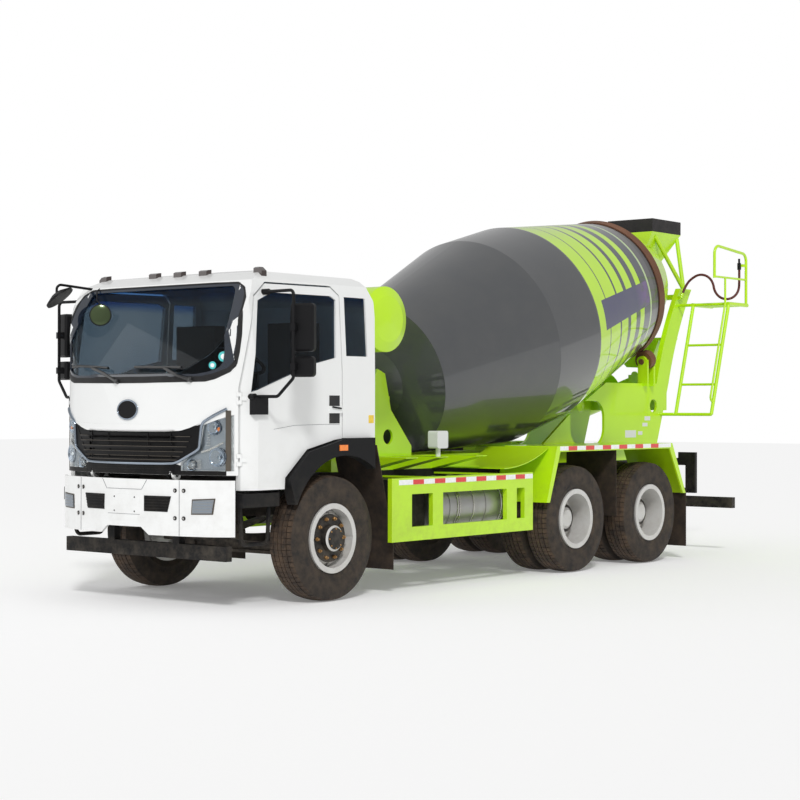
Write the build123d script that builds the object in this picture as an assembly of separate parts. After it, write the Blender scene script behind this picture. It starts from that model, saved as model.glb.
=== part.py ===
from build123d import *
import math
import os

# Six-wheel concrete mixer truck, millimetres.
# +X points forward, +Y to the left, +Z up. The ground is Z = 0.
# Every X below is measured from the front axle; the finished solids are shifted so that
# the middle of the vehicle's length lies at X = 0.

# Main sizes
WHEELBASE = 3550
BOGIE_SPACING = 1400
REAR_AXLE_X = -WHEELBASE - BOGIE_SPACING
BOGIE_X = -WHEELBASE - BOGIE_SPACING / 2
FRONT_AXLE_FROM_MIDDLE = 2925
TYRE_R = 526
TYRE_WIDTH = 280
FRONT_WHEEL_Y = 982
TWIN_OUTER_Y = 1072
TWIN_INNER_Y = 752
FRAME_TOP_Z = 1040
FRAME_HALF_WIDTH = 425
DRUM_TILT_DEG = 15.0
DRUM_REF_X = -3500
DRUM_REF_Z = 2282

# Shared clearances and stock
OVERRUN = 60
MOVING_GAP = 6
RUNNING_FIT = 0.05
SKIN = 40
SHEET = 8
GLASS_THICKNESS = 6
GLASS_INSET = 16

# Ladder frame
RAIL_HEIGHT = 260
RAIL_FLANGE = 80
RAIL_WALL = 10
FRAME_FRONT_X = 1096
FRAME_REAR_X = -6850
BOGIE_MEMBER_AHEAD = 500
BOGIE_MEMBER_BEHIND = 700
CROSS_MEMBER_X = (1035, -480, -1180, -2100, -WHEELBASE + BOGIE_MEMBER_AHEAD, BOGIE_X,
                  REAR_AXLE_X - BOGIE_MEMBER_BEHIND, -6780)
CROSS_MEMBER_WIDTH = 90
CROSS_MEMBER_HEIGHT = 180

# Mixer subframe
SUB_HEIGHT = 130
SUB_WIDTH = 90
SUB_FRONT_X = -760
SUB_REAR_X = -6480
OUTRIGGER_TO_WHEEL = 1250
OUTRIGGER_X = (-1250, -1703, -WHEELBASE + OUTRIGGER_TO_WHEEL)
OUTRIGGER_LENGTH = 170
OUTRIGGER_REACH_Y = 955
OUTRIGGER_DROP = 110
MUDGUARD_AHEAD = 400
WING_LAP = 10
WING_LENGTH = 740
WING_REAR_X = -WHEELBASE + MUDGUARD_AHEAD + WING_LAP
WING_FRONT_X = WING_REAR_X + WING_LENGTH
WING_REACH_Y = 1150
WING_FRONT_Z = 1050
WING_REAR_Z = 1235
WING_SAG = 45

# Engine block
ENGINE_FRONT_X = 860
ENGINE_REAR_X = -330
ENGINE_HALF_WIDTH = 320
ENGINE_BOTTOM_Z = 690
ENGINE_TOP_Z = 1310
ENGINE_MOUNT_INSET = 140
ENGINE_MOUNT_WIDTH = 90
ENGINE_MOUNT_Z = 860

# Front axle, springs and knuckles
AXLE_Z = TYRE_R
BEAM_HALF_DEPTH = 50
BEAM_HEIGHT = 110
BEAM_DROP = 110
KINGPIN_Y = 770
KINGPIN_R = 24
KINGPIN_BOSS_R = 52
KINGPIN_BOSS_HEIGHT = 110
KNUCKLE_EAR_HEIGHT = 38
KNUCKLE_PLATE = 36
STUB_R = 42
STUB_END_Y = 985
SPRING_Y = 395
SPRING_WIDTH = 80
SPRING_STACK = 70
FRONT_SPRING_HALF = 760
SPRING_RISE = 130
HANGER_THICKNESS = 50

# Drive axles and bogie springs
AXLE_TUBE_R = 75
SPINDLE_R = 55
SPINDLE_END_Y = 1075
DIFF_R = 235
DIFF_LENGTH = 260
BOGIE_SPRING_STACK = 130
BOGIE_SPRING_Y = 495
BOGIE_SPRING_WIDTH = 100
TRUNNION_Z = 640
TRUNNION_R = 80
PROPSHAFT_R = 55
PROPSHAFT_Z = 700

# Rims
RIM_SEAT_R = 258
RIM_LIP_R = 292
RIM_WALL = 12
RIM_LIP_WIDTH = 18
BEAD_SHARE = 0.80
DISC_THICKNESS = 14
FRONT_DISC_OUTSET = 78
FRONT_DISC_DISH = 62
FLANGE_R = 202
HUB_CAP_R = 108
HUB_CAP_HEIGHT = 75
HUB_R = 96
REAR_HUB_R = 135
REAR_HUB_OUTSET = 118
BRAKE_DRUM_R = 208
BRAKE_DRUM_WIDTH = 150
HAND_HOLES = 8
HAND_HOLE_R = 24
HAND_HOLE_PITCH_R = 226

# Cab envelope
CAB_FRONT_X = 1290
CAB_REAR_X = -618
CAB_TOP_Z = 2785
SKIRT_Z = 900
CAB_HALF_WIDTH = 1080
CAB_FLOOR_FRONT_Z = 1075
CAB_FLOOR_REAR_Z = 1360
FLOOR_STEP_X = 520
TUNNEL_ROOM = 45
CAB_PIVOT_X = 1205
CAB_PIVOT_Z = 1075
PIVOT_PIN_R = 18
PIVOT_FIT = 0.3
PIVOT_EAR_R = 42
PIVOT_EAR_Y = 470
PIVOT_EAR_THICKNESS = 24
# (share of length from the rear, share of height from the skirt)
CAB_SIDE_SHARES = ((0, 0), (1, 0), (1, 0.31), (0.99, 0.494), (0.785, 0.925), (0.69, 0.968),
                   (0.43, 1), (0.17, 0.994), (0.05, 0.955), (0.01, 0.86), (0, 0.7))
# (share of half width, share of height)
CAB_FRONT_SHARES = ((1, 0), (1, 0.53), (0.965, 0.87), (0.93, 0.93), (0.85, 0.968), (0.45, 0.992), (0, 1))
NOSE_CORNER_X = 1190
NOSE_CORNER_INSET = 343
NOSE_CORNER_Y = CAB_HALF_WIDTH - NOSE_CORNER_INSET
NOSE_BEND_X = 1085
NOSE_BEND_INSET = 135
NOSE_BEND_Y = CAB_HALF_WIDTH - NOSE_BEND_INSET
NOSE_SIDE_X = 880

# Windows and doors
SCREEN_TOP_INSET = 188
SCREEN_TOP_Y = CAB_HALF_WIDTH - SCREEN_TOP_INSET
SCREEN_TOP_Z = 2623
SCREEN_SIDE_INSET = 94
SCREEN_SIDE_Y = CAB_HALF_WIDTH - SCREEN_SIDE_INSET
SCREEN_SIDE_Z = 1943
SCREEN_BASE_INSET = 385
SCREEN_BASE_Y = CAB_HALF_WIDTH - SCREEN_BASE_INSET
SCREEN_BASE_Z = 1822
SCREEN_BACK_X = 700
DOOR_FRONT_X = 1012
DOOR_REAR_X = -140
DOOR_BOTTOM_Z = 955
DOOR_TOP_Z = 2625
HINGE_INSET = 65
HINGE_Y = CAB_HALF_WIDTH - HINGE_INSET
DOOR_GAP = 14
HINGE_BARREL_R = 10
HINGE_PIN_R = 5
HINGE_RELIEF = 2
HINGE_KNUCKLE = 32
HINGE_Z = (1150, 1640)
# (share of door length from the rear edge, share of door height from the sill)
DOOR_SHARES = ((0.615, 0), (1, 0), (1, 0.49), (0.895, 0.93), (0.76, 0.995), (0.07, 1), (0, 0.96),
               (0, 0.24), (0.07, 0.236), (0.38, 0.19), (0.61, 0.055))
DOOR_WINDOW_SHARES = ((0.937, 0.468), (0.315, 0.61), (0.06, 0.646), (0.035, 0.937), (0.088, 0.956),
                      (0.72, 0.953), (0.865, 0.91))
QUARTER_REAR_X = -487
QUARTER_FRONT_X = -208
QUARTER_BOTTOM_Z = 2052
QUARTER_TOP_Z = 2552
HANDLE_X = -50
HANDLE_Z = 1600
HANDLE_LENGTH = 150
HANDLE_HEIGHT = 60
HANDLE_OUTSET = 22

# Grille and headlamps
GRILLE_TOP_Z = 1473
GRILLE_BOTTOM_Z = 1168
GRILLE_TOP_INSET = 355
GRILLE_TOP_Y = CAB_HALF_WIDTH - GRILLE_TOP_INSET
GRILLE_BOTTOM_INSET = 566
GRILLE_BOTTOM_Y = CAB_HALF_WIDTH - GRILLE_BOTTOM_INSET
GRILLE_DEPTH = 30
SLATS = 5
SLAT_SHARE = 0.45
LAMP_TOP_Z = 1620
LAMP_BOTTOM_Z = 1110
LAMP_INNER_INSET = 520
LAMP_INNER_Y = CAB_HALF_WIDTH - LAMP_INNER_INSET
LAMP_BACK_X = 930

# Cab fittings
SEAT_X = -40
SEAT_INSET = 520
SEAT_Y = CAB_HALF_WIDTH - SEAT_INSET
SEAT_WIDTH = 480
SEAT_DEPTH = 480
SEAT_Z = 1700
SEAT_THICKNESS = 130
SEAT_BACK_HEIGHT = 640
DASH_X = 900
DASH_DEPTH = 260
DASH_TOP_Z = 1900
DASH_BOTTOM_Z = 1600
DASH_INSET = 220
DASH_HALF_WIDTH = CAB_HALF_WIDTH - DASH_INSET
WHEEL_RING_R = 215
WHEEL_BAR_R = 15
WHEEL_RAKE_DEG = 62.0
STEER_CENTRE_X = 560
STEER_CENTRE_Z = 2000
ROOF_LAMP_INSET = 154
ROOF_LAMP_STEP = 300
OUTER_LAMP_Y = CAB_HALF_WIDTH - ROOF_LAMP_INSET
ROOF_LAMP_Y = (-OUTER_LAMP_Y, -ROOF_LAMP_STEP, 0, ROOF_LAMP_STEP, OUTER_LAMP_Y)
ROOF_LAMP_LENGTH = 60
ROOF_LAMP_WIDTH = 90
ROOF_LAMP_HEIGHT = 34

# Wheel arches on the cab
ARCH_OUTSET = 50
ARCH_SIDE_Y = CAB_HALF_WIDTH + ARCH_OUTSET
ARCH_INNER_INSET = 44
ARCH_INNER_Y = CAB_HALF_WIDTH - ARCH_INNER_INSET
ARCH_TOE_X = 490
ARCH_TOE_Z = 825
ARCH_FRONT_X = 556
ARCH_FRONT_Z = 1031
ARCH_SHOULDER_X = 317
ARCH_SHOULDER_Z = 1252
ARCH_CREST_X = -60
ARCH_CREST_Z = 1337
ARCH_TOP_Z = 1360
ARCH_REAR_X = -525
ARCH_CENTRE_X = -138
ARCH_CENTRE_Z = 550
ARCH_R = 665
LINER_INNER_Y = 640
LINER_FRONT_X = 600
LINER_TOP_Z = 1335
LINER_THICKNESS = 8
LINER_SHARES = ((0, 0.93), (0.38, 1), (0.73, 0.86), (0.93, 0.5), (1, 0.14))

# Bumper and steps
BUMPER_OUTSET = 42
BUMPER_WALL = 26
BUMPER_TOP_Z = 1037
BUMPER_BOTTOM_Z = 589
BUMPER_REAR_X = 1075
NOTCH_HALF_TOP = 200
NOTCH_HALF_BOTTOM = 284
NOTCH_HEIGHT = 62
VENT_INNER_Y = 190
VENT_OUTER_Y = 400
VENT_TOP_Z = 845
VENT_BOTTOM_Z = 735
PLATE_RECESS_HALF = 175
PLATE_RECESS_HEIGHT = 140
PLATE_RECESS_Z = 782
PLATE_RECESS_DEPTH = 12
PLATE_HOLES_ACROSS = 280
PLATE_HOLES_UP = 84
NUMBER_PLATE_HOLE_R = 4
UNDERRUN_Z = 452
UNDERRUN_HEIGHT = 120
UNDERRUN_DEPTH = 70
FRONT_UNDERRUN_X = 1115
FRONT_UNDERRUN_HALF = 950
REAR_UNDERRUN_X = -6723
REAR_UNDERRUN_HALF = 1200
REAR_UNDERRUN_Z = 552
STEP_FRONT_X = 1040
STEP_REAR_X = 620
STEP_TOP_Z = 930
STEP_BAR_HEIGHT = 110
STEP_OUTER_INSET = 10
STEP_OUTER_Y = CAB_HALF_WIDTH - STEP_OUTER_INSET
STEP_INNER_INSET = 180
STEP_INNER_Y = CAB_HALF_WIDTH - STEP_INNER_INSET
STIRRUP_Z = 520
STIRRUP_BAR_R = 17

# Side guards, tank and boxes
GUARD_FRONT_X = -664
GUARD_TO_WHEEL = 756
GUARD_REAR_X = -WHEELBASE + GUARD_TO_WHEEL
GUARD_TOP_Z = 1005
GUARD_BOTTOM_Z = 455
GUARD_OUTER_Y = 1200
GUARD_THICKNESS = 45
# (front share, rear share) along the guard for each window
GUARD_WINDOW_SHARES = ((0.13, 0.27), (0.34, 0.80), (0.875, 0.935))
GUARD_SILL_SHARE = 0.22
GUARD_HEAD_SHARE = 0.74
TANK_R = 265
TANK_FRONT_X = -1350
TANK_TO_GUARD_END = 344
TANK_REAR_X = GUARD_REAR_X + TANK_TO_GUARD_END
TANK_Y = 850
TANK_Z = 720
STRAP_WIDTH = 50
STRAP_THICKNESS = 6
BATTERY_LENGTH = 420
AIR_TANK_R = 130
AIR_TANK_LENGTH = 760
SILENCER_R = 190
SILENCER_LENGTH = 900

# Rear mudguards and flaps
MUDGUARD_BEHIND = 387
MUDGUARD_REAR_X = REAR_AXLE_X - MUDGUARD_BEHIND
MUDGUARD_TOP_Z = 1245
MUDGUARD_OUTER_Y = 1240
MUDGUARD_INNER_Y = 620
MUDGUARD_SHEET = 10
MUDGUARD_LIP = 55
MUDGUARD_STAY_ROOM = 75
MUDGUARD_TOP_FRONT_X = -WHEELBASE + MUDGUARD_AHEAD
MUDGUARD_FOOT_Z = 706
MUDGUARD_FOOT_BEHIND = 669
MUDGUARD_REAR_FOOT_X = REAR_AXLE_X - MUDGUARD_FOOT_BEHIND
FLAP_THICKNESS = 10
REAR_FLAP_BOTTOM_Z = 136
FRONT_FLAP_BOTTOM_Z = 212
QUARTER_TOP_X = -535
QUARTER_HEAD_Z = 1297
QUARTER_FOOT_X = -765
QUARTER_FOOT_Z = 470
QUARTER_ARM_X = -600

# Drum, all along its own axis; s grows from the flange towards the mouth
FLANGE_S = -1818
HEAD_EDGE_S = -1550
BELLY_FRONT_S = -50
BELLY_REAR_S = 694
TRACK_S = 2418
MOUTH_S = 3000
FLANGE_PLATE_R = 178
FLANGE_PLATE_THICKNESS = 36
HEAD_EDGE_R = 742
BELLY_R = 1067
TRACK_SEAT_R = 796
TRACK_R = 816
TRACK_WIDTH = 110
MOUTH_R = 560
DRUM_WALL = 14
HEAD_CROWN_SHARES = ((0.38, 0.28), (0.64, 0.66))
ROLLER_R = 105
ROLLER_WIDTH = 100
ROLLER_ANGLE_DEG = 32.0
ROLLER_GAP = 0.3
ROLLER_PIN_R = 32

# Front pedestal and drive
PEDESTAL_Y = 360
PEDESTAL_SHEET = 24
PEDESTAL_FRONT_X = -1015
PEDESTAL_REAR_X = -1990
PEDESTAL_TOP_Z = 1975
PEDESTAL_HOLE_R = 70
GEARBOX_R = 150
GEARBOX_LENGTH = 330
MOTOR_R = 85
MOTOR_LENGTH = 200
PEDESTAL_TOP_FRONT_X = -1487
PEDESTAL_TOP_REAR_X = -1595
PEDESTAL_WAIST_X = -1684
PEDESTAL_WAIST_Z = 1594
PEDESTAL_HEEL = 85
PEDESTAL_HOLE_X = -1640
PEDESTAL_HOLE_Z = 1345
PEDESTAL_BRIDGE_DROP = 110

# Rear pedestal
PLATE_Y = 500
PLATE_SHEET = 30
PLATE_FRONT_X = -3960
PLATE_REAR_X = -6520
PLATE_LEG_X = -6250
PLATE_TOP_Z = 1890
PLATE_TOE = 50
PLATE_SHOULDER_X = -4450
PLATE_SHOULDER_Z = 1525
PLATE_CREST_X = -5200
PLATE_HOLE_X = -6190
PLATE_HOLE_Z = 1640
PLATE_HOLE_R = 75
LUG_R = 62
ARCHWAY_FRONT_X = -4500
ARCHWAY_REAR_X = -5165
ARCHWAY_TOP_Z = 1690
COLUMN_WIDTH = 260
COLUMN_DEPTH = 60
COLUMN_TOP_X = -6910
COLUMN_TOP_Z = 2990
COLUMN_BEND_SHARE = 0.37
COLUMN_BEND_HEIGHT_SHARE = 0.47
REAR_BEAM_HEIGHT = 200
REAR_BEAM_TOP_Z = 1790
REAR_BEAM_X = -6480

# Hopper, skirt, collector and chutes
HOPPER_FRONT_X = -6500
HOPPER_REAR_X = -7140
HOPPER_HALF = 300
HOPPER_TOP_Z = 3640
HOPPER_BOTTOM_Z = 3090
HOPPER_WALL = 8
HOPPER_THROAT_X = -6490
HOPPER_THROAT = 300
HOPPER_LEG_R = 24
SKIRT_TOP_Z = 3790
SKIRT_WALL = 14
COLLECTOR_X = -6700
COLLECTOR_TOP_Z = 2420
COLLECTOR_HEIGHT = 330
COLLECTOR_LENGTH = 400
COLLECTOR_HALF = 400
COLLECTOR_THROAT = 290
YOKE_X = -6815
YOKE_PIN_Z = 2000
YOKE_POST_R = 45
YOKE_BOSS_R = 78
YOKE_BOSS_Z = 1600
YOKE_BOSS_HEIGHT = 90
YOKE_PLATE = 24
CHUTE_LENGTH = 1080
CHUTE_HEAD = 160
CHUTE_R = 190
CHUTE_WALL = 8
CHUTE_PIN_R = 18
CHUTE_EXT_LENGTH = 620
CHUTE_SLOPE_DEG = 20.0

# Ladder and platform
LADDER_INNER_Y = 700
LADDER_OUTER_Y = 1150
LADDER_FOOT_X = -6340
LADDER_FOOT_Z = 1545
LADDER_TOP_X = -6735
PLATFORM_Z = 2790
PLATFORM_REAR_X = -7145
LADDER_TUBE_R = 20
PLATFORM_TUBE_R = 22
CROSS_TUBE_R = 18
HOOP_TUBE_R = 16
HANDRAIL_R = 12
RUNG_R = 14
RUNG_Z = (1880, 2325)
HOOP_FRONT_X = -6410
HOOP_TOP_FRONT_Z = 3430
HOOP_TOP_REAR_Z = 3370
HOOP_MID_Z = 3080
HOOP_BEND_R = 90
HANDRAIL_OUTSET = 80
HANDRAIL_FOOT_Z = 1690
TREAD_BARS = 5

# Water tank
WATER_TANK_X = -940
WATER_TANK_Z = 2397
WATER_TANK_R = 290
WATER_TANK_HALF = 900
WATER_TANK_DISH = 60
WATER_STRAP_Y = 560
WATER_STRAP_WIDTH = 50
WATER_LEG_WIDTH = 80
WATER_LEG_Y = 385
WATER_SADDLE_HALF = 190

# Tail lamps
TAIL_FRONT_X = -6860
TAIL_DEPTH = 50
TAIL_INNER_Y = 430
TAIL_OUTER_Y = 650
TAIL_BOX_BOTTOM_Z = 957
TAIL_BOX_TOP_Z = 1107
TAIL_PANEL_INNER_Y = 525
TAIL_PANEL_BOTTOM_Z = 640

# Control box
CONTROL_X = -1703
CONTROL_Y = 900
CONTROL_Z = 1325
CONTROL_SIZE = 160
CONTROL_DEPTH = 110
CONTROL_STALK_R = 22

# Mirrors on the doors and over the right-hand kerb
MIRROR_BAR_X = 818
MIRROR_BAR_OUTSET = 320
MIRROR_BAR_Y = CAB_HALF_WIDTH + MIRROR_BAR_OUTSET
MIRROR_ARM_R = 13
MIRROR_BEND_R = 40
MIRROR_TURN_DEG = 20.0
MIRROR_WIDTH = 200
MIRROR_BAR_SHARE = 0.25
MIRROR_THICKNESS = 70
MIRROR_SETBACK = 39
MIRROR_CORNER_R = 32
MIRROR_CROWN = 18
MIRROR_TOP_Z = 2444
MIRROR_BOTTOM_Z = 2060
WIDE_TOP_Z = 2023
WIDE_BOTTOM_Z = 1859
CLAMP_HALF = 20
CLAMP_HEIGHT = 56
MIRROR_TOP_FOOT_X = 784
MIRROR_TOP_FOOT_Z = 2545
MIRROR_LOW_BEND_Z = 1850
MIRROR_ELBOW_X = 850
MIRROR_ELBOW_OUTSET = 180
MIRROR_LOW_FOOT_X = 940
MIRROR_LOW_FOOT_Z = 1704
MIRROR_FOOT_R = 24
MIRROR_FOOT_OUTSET = 22
FOOT_BOX_FRONT_X = 950
FOOT_BOX_REAR_X = 800
FOOT_BOX_TOP_Z = 1700
FOOT_BOX_BOTTOM_Z = 1560
FOOT_BOX_OUTSET = 34
KERB_MIRROR_X = 1160
KERB_MIRROR_INSET = 80
KERB_MIRROR_Z = 2562
KERB_MIRROR_R = 132
KERB_MIRROR_RIM = 16
KERB_MIRROR_BOWL = 34
KERB_BOWL_SHARE = 0.45
KERB_GLASS_SHARES = (-0.33, 0.53, -0.78)
KERB_ARM_R = 11
KERB_ROOT_X = 835
KERB_ROOT_INSET = 200
KERB_ROOT_Z = 2632
KERB_ELBOW_Z = 2672

# Wash hose, its union on the left column and its nozzle on the hoop
HOSE_R = 14
UNION_R = 20
UNION_LENGTH = 60
NOZZLE_LENGTH = 125
NOZZLE_R = 22
NOZZLE_TIP_R = 12
CLIP_WIDTH = 30
BEND_SHARE = 0.45
NOZZLE_BODY_SHARE = 0.6
HOSE_POINTS = (
    (-6762, 545, 2930),
    (-6812, 560, 3040),
    (-6836, 650, 3122),
    (-6832, 740, 3147),
    (-6836, 834, 3119),
    (-6842, 894, 3043),
    (-6845, 908, 2949),
    (-6893, 946, 2876),
    (-6964, 1004, 2852),
    (-7033, 1060, 2882),
    (-7077, 1095, 2958),
    (-7081, 1099, 3068),
    (-7080, 1098, 3196),
)


def box(x0, x1, y0, y1, z0, z1):
    size = (abs(x1 - x0), abs(y1 - y0), abs(z1 - z0))
    centre = Pos((x0 + x1) / 2, (y0 + y1) / 2, (z0 + z1) / 2)
    return centre * Box(*size)


def rod(start, end, radius):
    start = Vector(*start)
    end = Vector(*end)
    span = end - start
    return Solid.make_cylinder(radius, span.length, Plane(origin=start, z_dir=span))


def rod_y(x, z, radius, y0, y1):
    return rod((x, min(y0, y1), z), (x, max(y0, y1), z), radius)


def side_plate(points, y0, y1):
    """Extrudes an outline of (x, z) points from y0 to y1."""
    face = Face(Wire.make_polygon([Vector(x, y0, z) for x, z in points], close=True))
    return Solid.extrude(face, Vector(0, y1 - y0, 0))


def plan_plate(points, z0, z1):
    """Extrudes an outline of (x, y) points from z0 to z1."""
    face = Face(Wire.make_polygon([Vector(x, y, z0) for x, y in points], close=True))
    return Solid.extrude(face, Vector(0, 0, z1 - z0))


def front_plate(points, x0, x1):
    """Extrudes an outline of (y, z) points from x0 to x1."""
    face = Face(Wire.make_polygon([Vector(x0, y, z) for y, z in points], close=True))
    return Solid.extrude(face, Vector(x1 - x0, 0, 0))


def placed(shares, u0, u1, v0, v1):
    """Turns shares of a rectangle into points."""
    return [(u0 + (u1 - u0) * u, v0 + (v1 - v0) * v) for u, v in shares]


def mirrored(shape):
    return shape.mirror(Plane.XZ)


def both_sides(shape):
    return [shape, mirrored(shape)]


def turned_profile(points, y_centre, x, z):
    """Revolves an outline of (y, radius) points about the wheel's own Y axis."""
    face = Face(Wire.make_polygon([Vector(x, y_centre + y, z + r) for y, r in points], close=True))
    return Solid.revolve(face, 360, Axis((x, y_centre, z), (0, 1, 0)))


def pipe(points, bends, radius):
    """Sweeps a round bar along straight runs joined by arcs."""
    path = FilletPolyline(*points, radius=bends)
    section = Plane(origin=path @ 0, z_dir=path % 0) * Circle(radius)
    return sweep(section, path=path)


# Chassis

def chassis_frame():
    rail = box(FRAME_REAR_X, FRAME_FRONT_X, FRAME_HALF_WIDTH - RAIL_FLANGE, FRAME_HALF_WIDTH,
               FRAME_TOP_Z - RAIL_HEIGHT, FRAME_TOP_Z)
    hollow = box(FRAME_REAR_X - OVERRUN, FRAME_FRONT_X + OVERRUN,
                 FRAME_HALF_WIDTH - RAIL_FLANGE - OVERRUN, FRAME_HALF_WIDTH - RAIL_WALL,
                 FRAME_TOP_Z - RAIL_HEIGHT + RAIL_WALL, FRAME_TOP_Z - RAIL_WALL)
    rail = rail - hollow
    ear = box(FRAME_FRONT_X - PIVOT_EAR_R, CAB_PIVOT_X + PIVOT_EAR_R / 2,
              FRAME_HALF_WIDTH - PIVOT_EAR_THICKNESS, FRAME_HALF_WIDTH,
              FRAME_TOP_Z - RAIL_HEIGHT / 2, FRAME_TOP_Z)
    ear = ear + rod_y(CAB_PIVOT_X, CAB_PIVOT_Z, PIVOT_EAR_R - MOVING_GAP,
                      FRAME_HALF_WIDTH - PIVOT_EAR_THICKNESS, FRAME_HALF_WIDTH)
    pin = rod_y(CAB_PIVOT_X, CAB_PIVOT_Z, PIVOT_PIN_R, FRAME_HALF_WIDTH, PIVOT_EAR_Y + PIVOT_EAR_THICKNESS)
    rail = rail + ear + pin
    frame = rail + mirrored(rail)
    for x in CROSS_MEMBER_X:
        bar = box(x - CROSS_MEMBER_WIDTH / 2, x + CROSS_MEMBER_WIDTH / 2,
                  -FRAME_HALF_WIDTH + RAIL_WALL, FRAME_HALF_WIDTH - RAIL_WALL,
                  FRAME_TOP_Z - RAIL_HEIGHT / 2 - CROSS_MEMBER_HEIGHT / 2,
                  FRAME_TOP_Z - RAIL_HEIGHT / 2 + CROSS_MEMBER_HEIGHT / 2)
        frame = frame + bar
    for x in (ENGINE_FRONT_X - ENGINE_MOUNT_INSET, ENGINE_REAR_X + ENGINE_MOUNT_INSET):
        arm = box(x - ENGINE_MOUNT_WIDTH / 2, x + ENGINE_MOUNT_WIDTH / 2, ENGINE_HALF_WIDTH, FRAME_HALF_WIDTH - RAIL_WALL,
                  ENGINE_MOUNT_Z, ENGINE_MOUNT_Z + SHEET * 5)
        frame = frame + arm + mirrored(arm)
    return frame


def wing():
    """The hollow-curved splash panel that rises from the frame to the left rear mudguard."""
    mid_x = (WING_FRONT_X + WING_REAR_X) / 2
    mid_z = (WING_FRONT_Z + WING_REAR_Z) / 2 - WING_SAG
    upper = ThreePointArc((WING_FRONT_X, WING_FRONT_Z), (mid_x, mid_z), (WING_REAR_X, WING_REAR_Z))
    lower = ThreePointArc((WING_REAR_X, WING_REAR_Z - SHEET), (mid_x, mid_z - SHEET), (WING_FRONT_X, WING_FRONT_Z - SHEET))
    face = make_face([upper, Line(upper @ 1, lower @ 0), lower, Line(lower @ 1, upper @ 0)])
    return side_prism(face, FRAME_HALF_WIDTH, WING_REACH_Y)


def mixer_subframe():
    beam = box(SUB_REAR_X, SUB_FRONT_X, FRAME_HALF_WIDTH - SUB_WIDTH, FRAME_HALF_WIDTH,
               FRAME_TOP_Z, FRAME_TOP_Z + SUB_HEIGHT)
    for x in OUTRIGGER_X:
        outline = ((FRAME_HALF_WIDTH, FRAME_TOP_Z + SUB_HEIGHT),
                   (OUTRIGGER_REACH_Y, FRAME_TOP_Z + SUB_HEIGHT),
                   (OUTRIGGER_REACH_Y, FRAME_TOP_Z + SUB_HEIGHT - SHEET),
                   (FRAME_HALF_WIDTH, FRAME_TOP_Z))
        beam = beam + front_plate(outline, x - OUTRIGGER_LENGTH / 2, x + OUTRIGGER_LENGTH / 2)
    beam = beam + wing()
    frame = beam + mirrored(beam)
    for x in (SUB_FRONT_X - SUB_WIDTH, (SUB_FRONT_X + SUB_REAR_X) / 2, SUB_REAR_X):
        bar = box(x, x + SUB_WIDTH, -FRAME_HALF_WIDTH + SHEET, FRAME_HALF_WIDTH - SHEET,
                  FRAME_TOP_Z, FRAME_TOP_Z + SUB_HEIGHT)
        frame = frame + bar
    return frame


def engine_block():
    return box(ENGINE_REAR_X, ENGINE_FRONT_X, -ENGINE_HALF_WIDTH, ENGINE_HALF_WIDTH,
               ENGINE_BOTTOM_Z, ENGINE_TOP_Z)


def leaf_spring(x, y, width, half, z_low, z_high, stack):
    """A bowed stack of leaves: low at the axle, high at both eyes."""
    lower = ThreePointArc((x - half, z_high), (x, z_low), (x + half, z_high))
    upper = ThreePointArc((x + half, z_high + stack / 3), (x, z_low + stack), (x - half, z_high + stack / 3))
    ends = [Line(lower @ 1, upper @ 0), Line(upper @ 1, lower @ 0)]
    face = make_face([lower, ends[0], upper, ends[1]])
    face = Plane.XZ * face
    face = Pos(0, y - width / 2, 0) * face
    return extrude(face, amount=width, dir=(0, 1, 0))


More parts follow.
